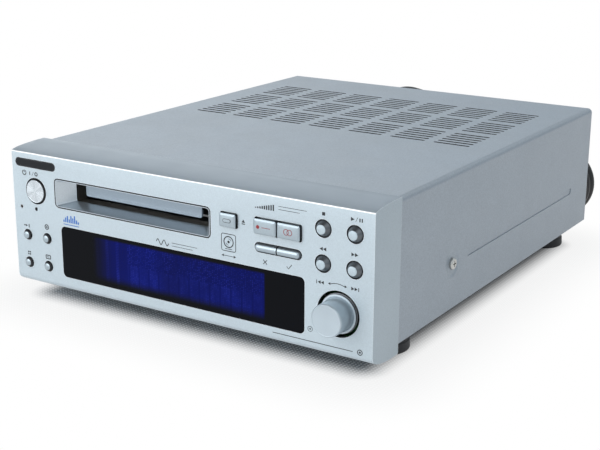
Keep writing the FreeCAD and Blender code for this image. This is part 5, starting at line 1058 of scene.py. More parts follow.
@dataclass
class FacePrint:
    """Generic marks on the face and on two keys: symbols, bars and rules, without words."""

    key_top: float = FACE_Y - 1.83  # of the record pair
    blue_bars: tuple[float, ...] = (1.1, 2.3, 3.3, 1.8, 3.6, 2.6, 3.9, 2.0, 1.2)

    def left(self, ink: Ink) -> None:
        """Marks of the power button and the four small buttons."""
        ink.loop(-94.6, 66.8, 1.15, 120, 300)
        ink.post(-94.6, 66.9, 68.2)
        ink.post(-90.9, 65.9, 67.7)
        ink.stroke([(-89.4, 65.8), (-88.4, 67.8)], 0.2)
        ink.loop(-86.7, 66.8, 0.8)
        ink.area(np.concatenate([arc(-87.8, 49.1, 0.95, 50, 310, 20), arc(-87.3, 49.1, 0.8, 290, 70, 16)]))
        ink.level(-97.0, 39.6, -95.4)
        ink.arrows(-95.6, 39.6, 1, 1, 0.6)
        ink.post(-93.5, 38.7, 40.5)
        ink.loop(-81.5, 40.9, 1.15)
        ink.disc(-81.5, 40.9, 0.5)
        for x in (-95.35, -94.25):
            for z in (24.45, 25.55):
                ink.bar(x, z, 0.8, 0.8)
        ink.box(-81.6, 25.4, 3.0, 1.8, 0.3)
        ink.level(-82.5, 25.4, -80.9, 0.35)

    def middle(self, ink: Ink) -> None:
        """Waveform and rules under the slot, and the disc and long-play marks under the eject key."""
        x = np.linspace(-12.4, -5.2, 28)
        ink.stroke(np.stack([x, 45.6 + 1.25 * np.sin((x + 12.4) * 2 * math.pi / 3.6)], axis=-1), 0.42)
        ink.level(-3.4, 46.2, 11.2, 0.22)
        ink.level(-3.4, 44.8, 8.6, 0.22)
        ink.box(28.7, 51.9, 7.7, 7.9, 0.9, 0.34)
        ink.loop(28.7, 52.2, 2.5)
        ink.loop(28.7, 52.2, 1.5, 20, 70, 0.22)
        ink.loop(28.7, 52.2, 1.5, 200, 70, 0.22)
        ink.disc(28.7, 52.2, 0.62)
        ink.level(26.8, 48.9, 30.6, 0.3)
        ink.level(25.8, 45.7, 31.6, 0.25)
        ink.arrows(26.0, 45.7, -1, 1, 0.65)
        ink.arrows(31.4, 45.7, 1, 1, 0.65)
        ink.area([(35.9, 62.4), (37.7, 62.4), (36.8, 63.9)])
        ink.level(35.9, 61.8, 37.7, 0.4)

    def right(self, ink: Ink) -> None:
        """Marks of the record keys, pills, transport keys and jog dial, and the rule along the bottom."""
        for number in range(9):
            ink.bar(43.0 + number * 1.15, 70.2, 0.7, 0.5 + 0.28 * number)
        ink.level(55.2, 72.7, 69.4, 0.22)
        ink.level(55.2, 71.3, 66.0, 0.22)
        ink.stroke([(47.2, 45.4), (49.2, 47.4)], 0.36)
        ink.stroke([(47.2, 47.4), (49.2, 45.4)], 0.36)
        ink.stroke([(59.4, 46.5), (60.3, 45.5), (62.0, 47.6)], 0.36)
        ink.bar(77.0, 72.2, 1.5, 1.5)
        ink.arrows(90.9, 72.9, 1, 1, 0.9)
        ink.stroke([(93.2, 72.0), (94.1, 73.9)], 0.2)
        ink.bar(94.9, 72.1, 0.55, 1.6)
        ink.bar(96.0, 72.1, 0.55, 1.6)
        ink.arrows(79.2, 57.6, -1, 2)
        ink.arrows(91.4, 57.7, 1, 2)
        ink.post(74.6, 41.8, 43.5, 0.35)
        ink.arrows(78.2, 42.65, -1, 2, 0.8)
        ink.arrows(91.6, 42.75, 1, 2, 0.8)
        ink.post(95.2, 41.9, 43.6, 0.35)
        ink.loop(84.9, 34.6, 8.9, 66, 48, 0.3)
        ink.arrows(81.4, 42.9, -1, 1, 0.62)
        ink.arrows(88.4, 42.9, 1, 1, 0.62)
        ink.loop(71.5, 20.4, 1.15, width=0.25)
        ink.disc(71.5, 20.4, 0.42)
        ink.level(52.0, 14.7, 92.8, 0.32)
        ink.loop(96.3, 15.0, 1.15, width=0.4)
        ink.disc(96.3, 15.0, 0.5)

    def blue(self, ink: Ink) -> None:
        """Level bars over a rule."""
        for number, tall in enumerate(self.blue_bars):
            ink.bar(-70.1 + number * 1.16, 45.5, 0.75, tall)
        ink.level(-70.1, 44.4, -60.1, 0.35)

    def build(self, bench: Bench) -> None:
        """Makes the grey, blue and red marks."""
        grey, blue = Ink("face_marks"), Ink("face_marks_blue")
        self.left(grey)
        self.middle(grey)
        self.right(grey)
        self.blue(blue)
        dot, rings = Ink("record_dot", self.key_top), Ink("dubbing_rings", self.key_top)
        dot.disc(45.6, 62.4, 0.85)
        dot.level(47.6, 62.4, 52.0, 0.25)
        rings.loop(60.2, 62.4, 1.25, width=0.28)
        rings.loop(61.9, 62.4, 1.25, width=0.28)
        for ink, finish, node in (
            (grey, Finishes.INK, "front_panel"),
            (blue, Finishes.INK_BLUE, "front_panel"),
            (dot, Finishes.INK_RED, "record_button"),
            (rings, Finishes.INK_RED, "dubbing_button"),
        ):
            bench.fit(ink.made(20.0), (finish,), node, instead=False)


# ---------------------------------------------------------------- slot
@dataclass
class SlotUnit:
    """Bezel round the disc slot and the flap that closes it."""

    rounding: float = 0.22
    leaf_width: float = 70.2
    leaf_low: float = 57.2
    leaf_high: float = 65.6
    leaf_half: float = 0.6
    leaf_back: float = 10.0  # behind the face
    pin_radius: float = 0.9
    pin_half: float = 41.0

    def flap(self, bench: Bench) -> None:
        """Leaf with a shallow panel in its face and round edges, on a pin along its top."""
        x, y = bench.seen("slot_door")[0], FACE_Y + self.leaf_back
        half, end, radius = self.leaf_half, self.pin_half, self.pin_radius
        rows = [
            (0.5, -half, 0), (0, -half, 0.25), (0, half, 0.25), (1.1, half, 0.1), (1.3, half - 0.14, 0.1),
            (2.4, half - 0.14, 0),
        ]
        sides = (self.leaf_width, self.leaf_high - self.leaf_low, 1.2)
        form = Form("slot_flap").stack(sides, rows, (x, y, (self.leaf_low + self.leaf_high) / 2), corner=8)
        pin = [(0, -end, 0), (radius, -end, 0.2), (radius, end, 0.2), (0, end, 0)]
        form.turn(pin, (x, y, self.leaf_high), Facing.RIGHT, 24, 3, shade=1)
        bench.fit(form.made(), (Finishes.DOOR, Finishes.HOUSING), "slot_door")

    def build(self, bench: Bench) -> None:
        """Makes the bezel and the flap."""
        bench.refine("slot_bezel", Finishes.BEZEL, self.rounding)
        self.flap(bench)


# ---------------------------------------------------------------- keys
@dataclass
class Keys:
    """Every push key: cap, flange behind the panel and stem."""

    flange: Pair = (-2.35, -3.55)  # front and back of each flange
    stem_radius: float = 1.5
    stem_end: float = -9.5
    lip: float = 1.3
    power_radius: float = 6.3
    dome_radius: float = 2.4
    dome_rise: Pair = (0.35, 1.15)  # foot and height of the round part
    cone_radii: Pair = (2.05, 3.58)
    cone_proud: float = 2.0
    cap_size: Pair = (11.55, 6.95)
    cap_proud: float = 1.8
    eject_size: Pair = (8.7, 6.3)
    bar_size: Pair = (4.4, 1.9)
    pill_high: float = 3.95
    pill_proud: float = 1.5

    def round_key(
        self, bench: Bench, node: str, name: str, front: Rows, face: Rows, finishes: tuple[Finish, Finish], sides: int
    ) -> None:
        """Turned key with a stem, flange and barrel.

        Args:
            bench: where the key is fitted.
            node: the key's node.
            name: the piece's name.
            front: end of the barrel from its widest point.
            face: profile of the face, to the axis.
            finishes: of the face and of the rest; the rest's is a painted shade.
            sides: columns round the axis.
        """
        x, z, *_ = bench.seen(node)
        near, far = self.flange
        wide = front[0][0] + self.lip
        rows = [
            (0, self.stem_end, 0), (self.stem_radius, self.stem_end, 0.3), (self.stem_radius, far, 0),
            (wide, far, 0.2), (wide, near, 0.2), (front[0][0], near, 0), *front,
        ]
        form = Form(name)
        # the barrel, flange and stem take the second finish, a painted shade
        for shade, profile in ((1, rows), (0, face)):
            form.turn(profile, (x, FACE_Y, z), segments=sides, shade=shade)
        bench.fit(form.made(32.0), finishes, node)

    def back(self, bench: Bench, node: str, form: Form) -> None:
        """Adds the flange and stem of a flat key."""
        x, z, width, height = bench.seen(node)
        near, far = self.flange
        rows = [(0.3, far, 0), (0, far, 0.2), (0, near, 0.2), (0.3, near, 0)]
        form.stack((width, height, 1.0), rows, (x, FACE_Y, z), corner=4, steps=3)
        stem = [(0, self.stem_end, 0), (self.stem_radius, self.stem_end, 0.3), (self.stem_radius, far + 0.2, 0)]
        form.turn(stem, (x, FACE_Y, z), segments=24, steps=3)

    def cap(self, bench: Bench, node: str, name: str, size: Pair, side: int = 0) -> Form:
        """Flat cap with a bright chamfer and a slightly crowned face; side shifts a pair's flange outwards."""
        x, z, *_ = bench.seen(node)
        at, sides, proud = (x - side * self.lip / 2, FACE_Y, z), (*size, 0.75), self.cap_proud
        wall = [(0, self.flange[0] - 0.2, 0), (0, proud - 0.6, 0)]
        rows = [(0, proud - 0.6, 0), (0, proud - 0.46, 0.1), (0.75, proud - 0.08, 0.3), (2.0, proud + 0.02, 0)]
        # the side wall takes the second finish, a painted shade
        form = Form(name).stack(sides, wall, at, corner=6, shade=1, ends=False).stack(sides, rows, at, corner=6)
        self.back(bench, node, form)
        return form

    def pill(self, bench: Bench, node: str, name: str, side: int) -> Form:
        """Half of the pill: straight sides and a round outer end, drawn in along a circular crown.

        At inset d the surface stands at the height of a circle through both long edges and the crest.
        """
        low, high = bench.low_high[node]
        inner = high[0] if side < 0 else low[0]
        half = self.pill_high / 2
        end = inner + side * (self.cap_size[0] - half)
        big = (half**2 + self.pill_proud**2) / (2 * self.pill_proud)
        inset = half * (1 - np.cos(np.linspace(0, math.pi / 2, 12)))
        crown = np.sqrt(np.maximum(big**2 - (half - inset) ** 2, 0)) - (big - self.pill_proud)
        reach = (half - np.concatenate([[0.0], inset]))[:, None]
        crown = np.concatenate([[self.flange[0] - 0.2], crown])[:, None]
        angle = np.linspace(-math.pi / 2, math.pi / 2, 15)
        flat = np.full(reach.shape, inner)
        x = np.concatenate([flat, end + side * reach * np.cos(angle), flat], axis=1)
        z = np.concatenate([-reach, reach * np.sin(angle), reach], axis=1) + bench.seen(node)[1]
        shape = np.stack([x, FACE_Y - crown + 0 * x, z], axis=-1)
        # the outer rows, along the long edges and round the end, are a painted shade
        form = Form(name).grid(shape[:7], shade=1).grid(shape[6:])
        self.back(bench, node, form)
        return form

    def round_ones(self, bench: Bench) -> None:
        """Makes the power button, the domes and the transport cones."""
        radius = self.power_radius
        edge = (radius - 0.62, 0.62, 0)
        face = [edge, (radius - 0.76, 0.78, 0.08), (radius - 0.95, 0.72, 0.1), (0, 0.76, 0)]
        # the power cap's barrel is a painted shade
        finishes = (Finishes.POWER, Finishes.KEY_DEEP_PAINTED_SHADE)
        self.round_key(bench, "power_button", "power_cap", [(radius - 0.2, 0.1, 0.2), edge], face, finishes, 96)
        radius, (foot, rise) = self.dome_radius, self.dome_rise
        crown = np.linspace(0, math.pi / 2, 9).tolist()
        dome = [(radius * math.cos(a), foot + rise * math.sin(a), 0.0) for a in crown[:-1]]
        # the domes' outer rows are a painted shade, their middle stays silver
        face, finishes = [*dome[4:], (0.0, foot + rise, 0.0)], (Finishes.KEY, Finishes.KEY_DEEP_PAINTED_SHADE)
        for node in ("input_button", "rec_mode_button", "display_button", "group_button"):
            self.round_key(bench, node, node + "_dome", dome[:5], face, finishes, 40)
        (tip, base), proud = self.cone_radii, self.cone_proud
        edge = (tip + 0.12, proud - 0.1, 0)
        cone = [(base, -0.1, 0.35), (tip + 0.45, proud - 0.5, 0.3), edge]
        face = [edge, (tip - 0.05, proud + 0.14, 0.15), (0, proud + 0.2, 0)]
        # the cones' faces are a painted light, their flanks a painted shade
        finishes = (Finishes.KEY_TOP, Finishes.KEY_SIDE)
        for node in ("stop_button", "play_button", "rewind_button", "forward_button"):
            self.round_key(bench, node, node + "_cone", cone, face, finishes, 48)

    def build(self, bench: Bench) -> None:
        """Makes all fourteen keys."""
        self.round_ones(bench)
        finishes = (Finishes.KEY, Finishes.KEY_SIDE)
        for node, side in (("record_button", -1), ("dubbing_button", 1)):
            bench.fit(self.cap(bench, node, node + "_cap", self.cap_size, side).made(), finishes, node)
        form = self.cap(bench, "eject_button", "eject_cap", self.eject_size)
        x, z, *_ = bench.seen("eject_button")
        at, sides, crest = (x, FACE_Y, z), (*self.bar_size, 0.9), self.cap_proud + 0.2
        bar = [(0, crest - 0.4, 0), (0, crest - 0.04, 0.1), (0.34, crest, 0)]
        top = [(0.34, crest - 0.3, 0), (0.34, crest, 0), (0.8, crest, 0)]
        # the bar's rim is a painted shade, a dark outline round it
        form.stack(sides, bar, at, corner=8, steps=3, shade=1, ends=False).stack(sides, top, at, corner=8)
        bench.fit(form.made(), finishes, "eject_button")
        for node, name, side in (("edit_button", "edit_pill", -1), ("yes_button", "yes_pill", 1)):
            bench.fit(self.pill(bench, node, name, side).made(40.0), finishes, node)


@dataclass
class JogDial:
    """Turned dial on its shaft."""

    face_radius: float = 7.4
    skirt_radius: float = 8.75
    flange_radius: float = 9.1
    proud: float = 10.0
    bore: float = 3.0
    bore_end: float = 6.0

    def build(self, bench: Bench) -> None:
        """Skirt level with the panel, a groove, a straight grip, a narrow bevel and a dished face."""
        x, z, *_ = bench.seen("jog_knob")
        face, skirt, wide, top = self.face_radius, self.skirt_radius, self.flange_radius, self.proud
        rows = [
            (skirt, -0.3, 0), (skirt, 0.1, 0.12), (face + 0.5, 0.2, 0.15), (face + 0.3, -0.15, 0.1),
            (face + 0.16, 0.5, 0.2), (face, top - 0.55, 0.2), (face - 0.42, top - 0.02, 0.15),
            (face - 0.62, top - 0.02, 0.1), (face - 0.75, top - 0.12, 0.1), (0, top - 0.25, 0),
        ]
        back = [
            (0, self.bore_end, 0), (self.bore, self.bore_end, 0), (self.bore, -1.2, 0.2), (wide, -1.2, 0.1),
            (wide, -0.9, 0.1), (skirt, -0.85, 0.1), (skirt, -0.3, 0),
        ]
        # the back, with its flange, takes the second finish, a painted shade
        form = Form("jog_dial_turned")
        for shade, profile in enumerate((rows, back)):
            form.turn(profile, (x, FACE_Y, z), segments=128, steps=5, shade=shade)
        bench.fit(form.made(32.0), (Finishes.JOG, Finishes.KEY_SIDE), "jog_knob")


# ---------------------------------------------------------------- casing
@dataclass
class Casing:
    """Chassis, rear panel and feet."""

    sheet_rounding: float = 0.22
    feet: tuple[Point, ...] = ((84.0, -82.0, 12.0), (84.0, 108.0, 12.0))  # x, y and radius of each pair
    foot_top: float = 11.5
    stud: Pair = (2.0, 14.2)  # radius and top

    def foot(self, form: Form, x: float, y: float, radius: float) -> None:
        """Adds one foot: a tapered body, a rounded tread with two grooves and a recess round its rivet."""
        hollow, (stud, high) = radius * 0.45, self.stud
        rows = [
            (0, 3.0, 0), (hollow, 3.0, 0.3), (hollow, 0.0, 0.4), (radius * 0.62, 0.0, 0.1), (radius * 0.62, 0.5, 0.1),
            (radius * 0.7, 0.5, 0.1), (radius * 0.7, 0.0, 0.1), (radius, 0.0, 1.2), (radius - 0.35, 4.8, 0.1),
            (radius - 0.75, 5.1, 0.1), (radius - 0.8, self.foot_top, 0.1), (stud, self.foot_top, 0),
            (stud, high, 0.4), (0, high, 0),
        ]
        form.turn(rows, (x, y, 0), Facing.UP, 64, 5)

    def build(self, bench: Bench) -> None:
        """Makes the casing's pieces."""
        bench.refine("chassis_base", Finishes.ZINC, self.sheet_rounding, flat=False)
        bench.refine("rear_panel", Finishes.REAR, self.sheet_rounding, flat=False)
        form = Form("rubber_feet")
        for x, y, radius in self.feet:
            for side in (-1, 1):
                self.foot(form, side * x, y, radius)
        bench.fit(form.made(40.0), (Finishes.FOOT,), "feet")


@dataclass
class RearSockets:
    """Phono jacks and optical sockets."""

    jacks: tuple[Pair, ...] = ((65.5, 43.1), (79.5, 43.1), (65.5, 29.1), (79.5, 29.1))
    jack_radius: float = 4.15
    jack_proud: float = 8.0
    bore: float = 1.65
    block_deep: float = 12.0
    optical: tuple[Pair, ...] = ((22.5, 28.6), (36.5, 28.6))
    optical_width: float = 10.6
    mouth: float = 6.4

    def jack_block(self, bench: Bench) -> None:
        """Block with four barrels: a plated shell, a coloured insulator and a plated bush round the bore."""
        x, z, width, height = bench.seen("phono_jacks")
        back, outer, bore, end = -self.block_deep - 1.0, self.jack_radius, self.bore, self.jack_proud
        rows = [(0.6, back, 0), (0, back, 0.4), (0, -1.0, 0.3), (0.6, -1.0, 0)]
        form = Form("jack_block").stack((width, height, 0.8), rows, (x, REAR_Y, z), Facing.REAR, corner=4, steps=3)
        shell = [
            (outer - 0.7, -1.5, 0), (outer, -1.5, 0), (outer, 0.8, 0.1), (outer - 0.25, 1.1, 0.1),
            (outer - 0.25, end - 0.5, 0.1), (outer - 0.45, end, 0.15), (outer - 0.8, end, 0.15),
            (outer - 0.85, end - 0.9, 0),
        ]
        filler = [
            (outer - 0.84, end - 2.0, 0), (outer - 0.84, end - 0.7, 0.1), (bore + 0.6, end - 0.45, 0.2),
            (bore + 0.5, end - 2.0, 0),
        ]
        bush = [
            (bore + 0.55, end - 2.0, 0), (bore + 0.5, end - 0.2, 0.1), (bore, end - 0.2, 0.1), (bore, 0.0, 0),
            (0, 0.0, 0),
        ]
        for (jack_x, jack_z), shade in zip(self.jacks, (2, 2, 3, 3)):
            at = (jack_x, REAR_Y, jack_z)
            form.turn(shell, at, Facing.REAR, 40, shade=1).turn(filler, at, Facing.REAR, 40, shade=shade)
            form.turn(bush, at, Facing.REAR, 32, 3, shade=1)
        finishes = (Finishes.HOUSING, Finishes.PLATED, Finishes.SOCKET_WHITE, Finishes.SOCKET_RED)
        bench.fit(form.made(), finishes, "phono_jacks")

    def optical_pair(self, bench: Bench) -> None:
        """Square sockets: a rim, a mouth and a hinged shutter inside it, on feet that reach the board."""
        form = Form("optical_housings")
        width = self.optical_width
        mouth = (width - self.mouth) / 2
        rows = [
            (0.5, -12.0, 0), (0, -12.0, 0.3), (0, 1.0, 0.35), (mouth - 0.5, 1.0, 0.1), (mouth, 0.6, 0.1),
            (mouth + 0.02, -1.4, 0.1), (mouth + 0.5, -1.4, 0.1), (mouth + 0.7, -1.15, 0.1), (mouth + 1.2, -1.15, 0),
        ]
        bar = [(0.1, -1.2, 0), (0, -1.2, 0), (0, -0.95, 0.1), (0.2, -0.95, 0)]
        leg = [(0, -8.0, 0), (0, 0.0, 0)]
        for x, z in self.optical:
            form.stack((width, width, 0.8), rows, (x, REAR_Y, z), Facing.REAR, corner=5, steps=3)
            form.stack((self.mouth - 2.2, 0.6, 0.2), bar, (x, REAR_Y, z + 1.9), Facing.REAR, corner=3, steps=3)
            form.stack((8.0, 6.0, 0.5), leg, (x, REAR_Y - 8.0, z), Facing.UP, corner=3)
        bench.fit(form.made(), (Finishes.HOUSING,), "optical_sockets")

    def build(self, bench: Bench) -> None:
        """Makes both groups of sockets."""
        self.jack_block(bench)
        self.optical_pair(bench)


class Carried:
    """Nodes that keep their own shape: the cover, screws, shafts, boards, transformer and disc mechanism."""

    NODES = (
        (Finishes.COVER, "top_cover"),
        (Finishes.SCREW, "case_screws board_screws"),
        (Finishes.STEEL, "jog_shaft guide_rods lead_screw turntable"),
        (Finishes.WHITE, "encoder_sleeve pickup_sled loading_gear"),
        (Finishes.HOUSING, "encoder_body tact_switches chips head_arm"),
        (Finishes.BOARD, "front_board main_board"),
        (Finishes.TUBE, "display_tube"),
        (Finishes.CAN, "capacitors"),
        (Finishes.FIN, "heat_sink"),
        (Finishes.CORE, "transformer_core"),
        (Finishes.WINDING, "transformer_coil"),
        (Finishes.CABLE, "ribbon_cables"),
        (Finishes.ZINC, "mech_base mech_posts cartridge_holder loading_slider"),
        (Finishes.MOTOR, "spindle_motor sled_motor loading_motor"),
    )

    def build(self, bench: Bench) -> None:
        """Gives each of the nodes its finish."""
        for finish, nodes in self.NODES:
            bench.dress(finish, *nodes.split())


# ---------------------------------------------------------------- mains lead
@dataclass
class MainsLead:
    """Cord from the rear panel, its tied hank, its relief, tie and plug."""

    diameter: float = 6.0
    exit: Point = (-42.0, 160.0, 68.0)
    route: tuple[Point, ...] = (
        (-42.0, 174.0, 68.0),
        (-40.0, 191.0, 63.0),
        (-28.0, 205.0, 56.5),
        (-8.0, 209.0, 50.5),
        (16.0, 201.0, 47.0),
        (38.0, 187.0, 44.5),
        (58.0, 175.0, 43.0),
    )
    hank_middle: Point = (31.0, 156.0, 22.0)
    fold_reach: float = 39.0
    fold_radius: float = 19.0
    slack: tuple[float, ...] = (0.0, 0.4, 0.15, 0.5, 0.3, 0.1)  # by which each turn's folds are smaller
    waist: float = 3.0
    plug_end: float = -39.0
    plug_body: Point = (20.0, 18.0, 14.0)
    plug_middle: float = 7.0  # height of the body's middle
    blade_reach: float = 17.0
    blade: Point = (1.5, 6.3, 12.7)  # thickness, width and pitch
    relief_length: float = 32.0
    relief_radii: Point = (7.8, 5.8, 3.9)  # flange, neck and tip
    slots: tuple[int, float, float, float] = (7, 6.4, 3.5, 0.95)  # count, first, pitch and depth
    tie: Pair = (9.0, 1.2)  # width and thickness
    tied_high: float = 14.0  # of the hank inside the tie

    @property
    def turns(self) -> int:
        """Number of the hank's turns."""
        return len(self.slack)

    @property
    def last_y(self) -> float:
        """Where the hank's last turn lies, with the plug."""
        return self.hank_middle[1] - (self.turns - 1) * self.diameter / 2

    def _turn(self, number: int) -> list[Point]:
        """Control points of one turn: down round the right fold, back below, up round the left fold, over the top."""
        middle_x, middle_y, middle_z = self.hank_middle
        y = middle_y + (self.turns - 1) * self.diameter / 2 - number * self.diameter
        size = self.fold_radius - self.slack[number]
        right = arc(self.fold_reach, 0, size / math.cos(math.pi / 12), 75, -75, 6)
        run = np.array([(32.0, 1.0), (19.5, 0.58), (7.0, 0.0), (-7.0, 0.0), (-19.5, 0.58), (-32.0, 1.0)])
        below = np.stack([run[:, 0], -self.waist - run[:, 1] * (size - self.waist)], axis=-1)
        level = np.concatenate([right, below, -right, -below])
        shift = np.concatenate([np.zeros(18), np.linspace(0.1, 0.9, 6) * self.diameter])
        kept = 12 if number == self.turns - 1 else len(level)
        lift = 0.3 * (self.fold_radius - size)
        turn = zip(level[:kept].tolist(), shift.tolist())
        return [(middle_x + a, y - s, middle_z + b - lift) for (a, b), s in turn]

    def cord(self, bench: Bench) -> bpy.types.Object:
        """The cord as one smooth curve from the relief through the hank's turns to the plug."""
        points = [self.exit, *self.route]
        for number in range(self.turns):
            points += self._turn(number)
        points += [(x, self.last_y, self.diameter / 2) for x in (-20.0, self.plug_end - 3.0)]
        curve = bpy.data.curves.new("mains_cord", "CURVE")
        curve.dimensions = "3D"
        curve.bevel_depth = self.diameter / 2 * MM
        curve.bevel_resolution = 5
        curve.use_fill_caps = True
        curve.resolution_u = 6
        spline = curve.splines.new("NURBS")
        spline.points.add(len(points) - 1)
        spline.points.foreach_set("co", [v for x, y, z in points for v in (x * MM, y * MM, z * MM, 1.0)])
        spline.order_u = 3
        spline.use_endpoint_u = True
        piece = linked("mains_cord", curve)
        bench.fit(piece, (Finishes.CORD,), "power_cord", "cord_hank")
        return piece

    def plug(self, bench: Bench) -> bpy.types.Object:
        """Moulded plug: round at the cord, then a ribbed neck, then a body with round corners and two blades."""
        length, width, height = self.plug_body
        back = self.plug_end - 31.0
        neck = np.linspace(0, 1, 15)
        rib = np.where(np.arange(15) % 3 == 2, 0.75, 0.0)
        necks = (
            self.plug_end - neck * 10.4,
            2 * (3.8 + 1.9 * neck - rib),
            2 * (3.8 + 1.5 * neck - rib),
            3.8 + 2.6 * neck,
            2 * (3.8 + 1.9 * neck),
        )
        bodies = np.array([  # along from the back, width, height, middle and corner of each outline
            (0.2, 12.8, 11.6, 6.7, 6.0),
            (1.2, 15.0, 12.8, 6.9, 5.4),
            (3.0, 16.8, 13.6, 7.0, 4.6),
            (6.0, 17.8, height, 7.0, 3.6),
            (14.0, width, height, 7.0, 2.6),
            (18.6, width - 0.3, height - 0.3, 7.0, 2.6),
            (19.7, width - 1.4, height - 1.2, 7.0, 2.2),
            (20.0, width - 3.2, height - 2.8, 7.0, 1.8),
        ]).T
        bodies[0] = back + length - bodies[0]
        along, size, tall, centre, corner = (np.concatenate(pair) for pair in zip(necks, bodies))
        ring = outline(size, tall, corner)
        parts = [along[:, None] + 0 * ring[..., 0], self.last_y + ring[..., 0], centre[:, None] + ring[..., 1]]
        form = Form("power_plug_moulding").grid(np.stack(parts, axis=-1), ends=True)
        (thick, high, pitch), reach = self.blade, self.blade_reach
        rings = np.array([(0.0, -1.0), (0.0, reach - 1.2), (0.35, reach - 0.2), (0.6, reach)])
        flat = stacked(thick, high, 0.3, rings, steps=3)
        for side in (-1, 1):
            y = self.last_y + side * pitch / 2
            parts = [back - flat[..., 2], y + flat[..., 0], self.plug_middle + flat[..., 1]]
            form.grid(np.stack(parts, axis=-1), shade=1, ends=True)
        piece = form.made(40.0)
        bench.fit(piece, (Finishes.CORD, Finishes.SCREW), "power_plug")
        return piece

    def relief(self, bench: Bench) -> None:
        """Bush that tapers to the cord, with slots round it."""
        flange, neck, tip = self.relief_radii
        length = self.relief_length
        count, start, pitch, depth = self.slots
        rows: list[Point] = [
            (0.0, -5.0, 0), (flange - 0.6, -5.0, 0.3), (flange - 0.6, -1.1, 0.2), (neck, -1.1, 0), (neck, 0.0, 0),
            (flange, 0.0, 0.2), (flange, 2.15, 0.7), (neck + 0.2, 2.3, 0.4),
        ]
        for low in (start + number * pitch for number in range(count)):
            wide = [neck - (neck - tip) * (low + step) / length for step in (0.0, 0.5, 1.5, 2.0)]
            rows += [
                (wide[0], low, 0.3), (wide[1] - depth, low + 0.35, 0.2), (wide[2] - depth, low + 1.35, 0.2),
                (wide[3], low + 1.7, 0.3),
            ]
        rows += [(tip, length - 0.6, 0.4), (tip - 0.7, length, 0.2), (self.diameter / 2 - 0.1, length, 0)]
        form = Form("strain_relief_boot").turn(rows, (self.exit[0], REAR_Y, self.exit[2]), Facing.REAR, 48)
        bench.fit(form.made(45.0), (Finishes.CORD,), "strain_relief")

    def strap(self, bench: Bench) -> bpy.types.Object:
        """Woven strap round the waist: a flat section carried round a soft rectangle."""
        width, thick = self.tie
        ring = outline(self.turns * self.diameter + thick, self.tied_high + thick, 3.4, 8)[0]
        path = np.array(self.hank_middle) + np.stack([0 * ring[:, 0], ring[:, 0], ring[:, 1]], axis=-1)
        flat = outline(width, thick, 0.5, 4)[0]
        normal = np.cross(headings(path), (1.0, 0.0, 0.0))
        band = path[:, None] + flat[:, :1] * np.array((1.0, 0.0, 0.0)) + flat[None, :, 1:] * normal[:, None]
        piece = Form("hank_strap").grid(np.concatenate([band, band[:1]])).made(50.0)
        bench.fit(piece, (Finishes.TIE,), "cord_tie")
        return piece

    @staticmethod
    def measure(cord: bpy.types.Object) -> float:
        """Length of the cord's middle line, in metres."""
        bare = cord.copy()
        bare.data = cord.data.copy()
        bare.data.bevel_depth = 0
        line = bpy.data.meshes.new_from_object(bare)
        flat = np.empty(len(line.vertices) * 3)
        line.vertices.foreach_get("co", flat)
        bpy.data.meshes.remove(line)
        bpy.data.curves.remove(bare.data)
        return float(np.linalg.norm(np.diff(flat.reshape(-1, 3), axis=0), axis=1).sum())

    def build(self, bench: Bench) -> None:
        """Makes the lead and logs the length of its cord."""
        cord = self.cord(bench)
        plug = self.plug(bench)
        self.relief(bench)
        strap = self.strap(bench)
        LOG.info("cord length %.3f m", self.measure(cord))


# ---------------------------------------------------------------- studio
def aimed(stands: Point, aims: Point, roll: float = 0.0) -> Matrix:
    """Matrix of a camera or lamp that faces a point.

    Args:
        stands: where it is.
        aims: what it looks at.
        roll: degrees by which its right and up vectors are turned from level.

    Returns:
        Its world matrix, in metres.
    """
    ahead = unit(np.array(aims, float) - np.array(stands, float))
    level = unit(np.cross(ahead, (0, 0, 1.0)))
    over = np.cross(level, ahead)
    turn = math.radians(roll)
    right = level * math.cos(turn) + over * math.sin(turn)
    up = over * math.cos(turn) - level * math.sin(turn)
    rows = np.stack([right, up, -ahead, np.array(stands) * MM], axis=1).tolist()
    return Matrix(rows + [[0, 0, 0, 1]])


@dataclass(frozen=True)
class Viewpoint:
    """Where the camera stands, what it looks at and its lens."""

    stands: Point = (330.762, -539.633, 212.667)
    aims: Point = (2.114, -26.0, 30.774)
    roll: float = 0.2347
    lens: float = 72.816

    def place(self) -> None:
        """Makes the camera."""
        data = bpy.data.cameras.new("camera")
        data.sensor_width = 36.0
        data.lens = self.lens
        camera = linked("camera", data)
        camera.matrix_world = aimed(self.stands, self.aims, self.roll)
        bpy.context.scene.camera = camera


@dataclass(frozen=True)
class Lamp:
    """Square soft lamp that faces a point, and is or isn't seen in what it lights."""

    name: str
    stands: Point
    size: float
    power: float
    glossy: bool = True
    aims: Point = (0.0, -60.0, 40.0)

    def place(self) -> None:
        """Makes the lamp."""
        data = bpy.data.lights.new(self.name, "AREA")
        data.energy = self.power
        data.size = self.size * MM
        lamp = linked(self.name, data)
        lamp.matrix_world = aimed(self.stands, self.aims)
        lamp.visible_glossy = self.glossy


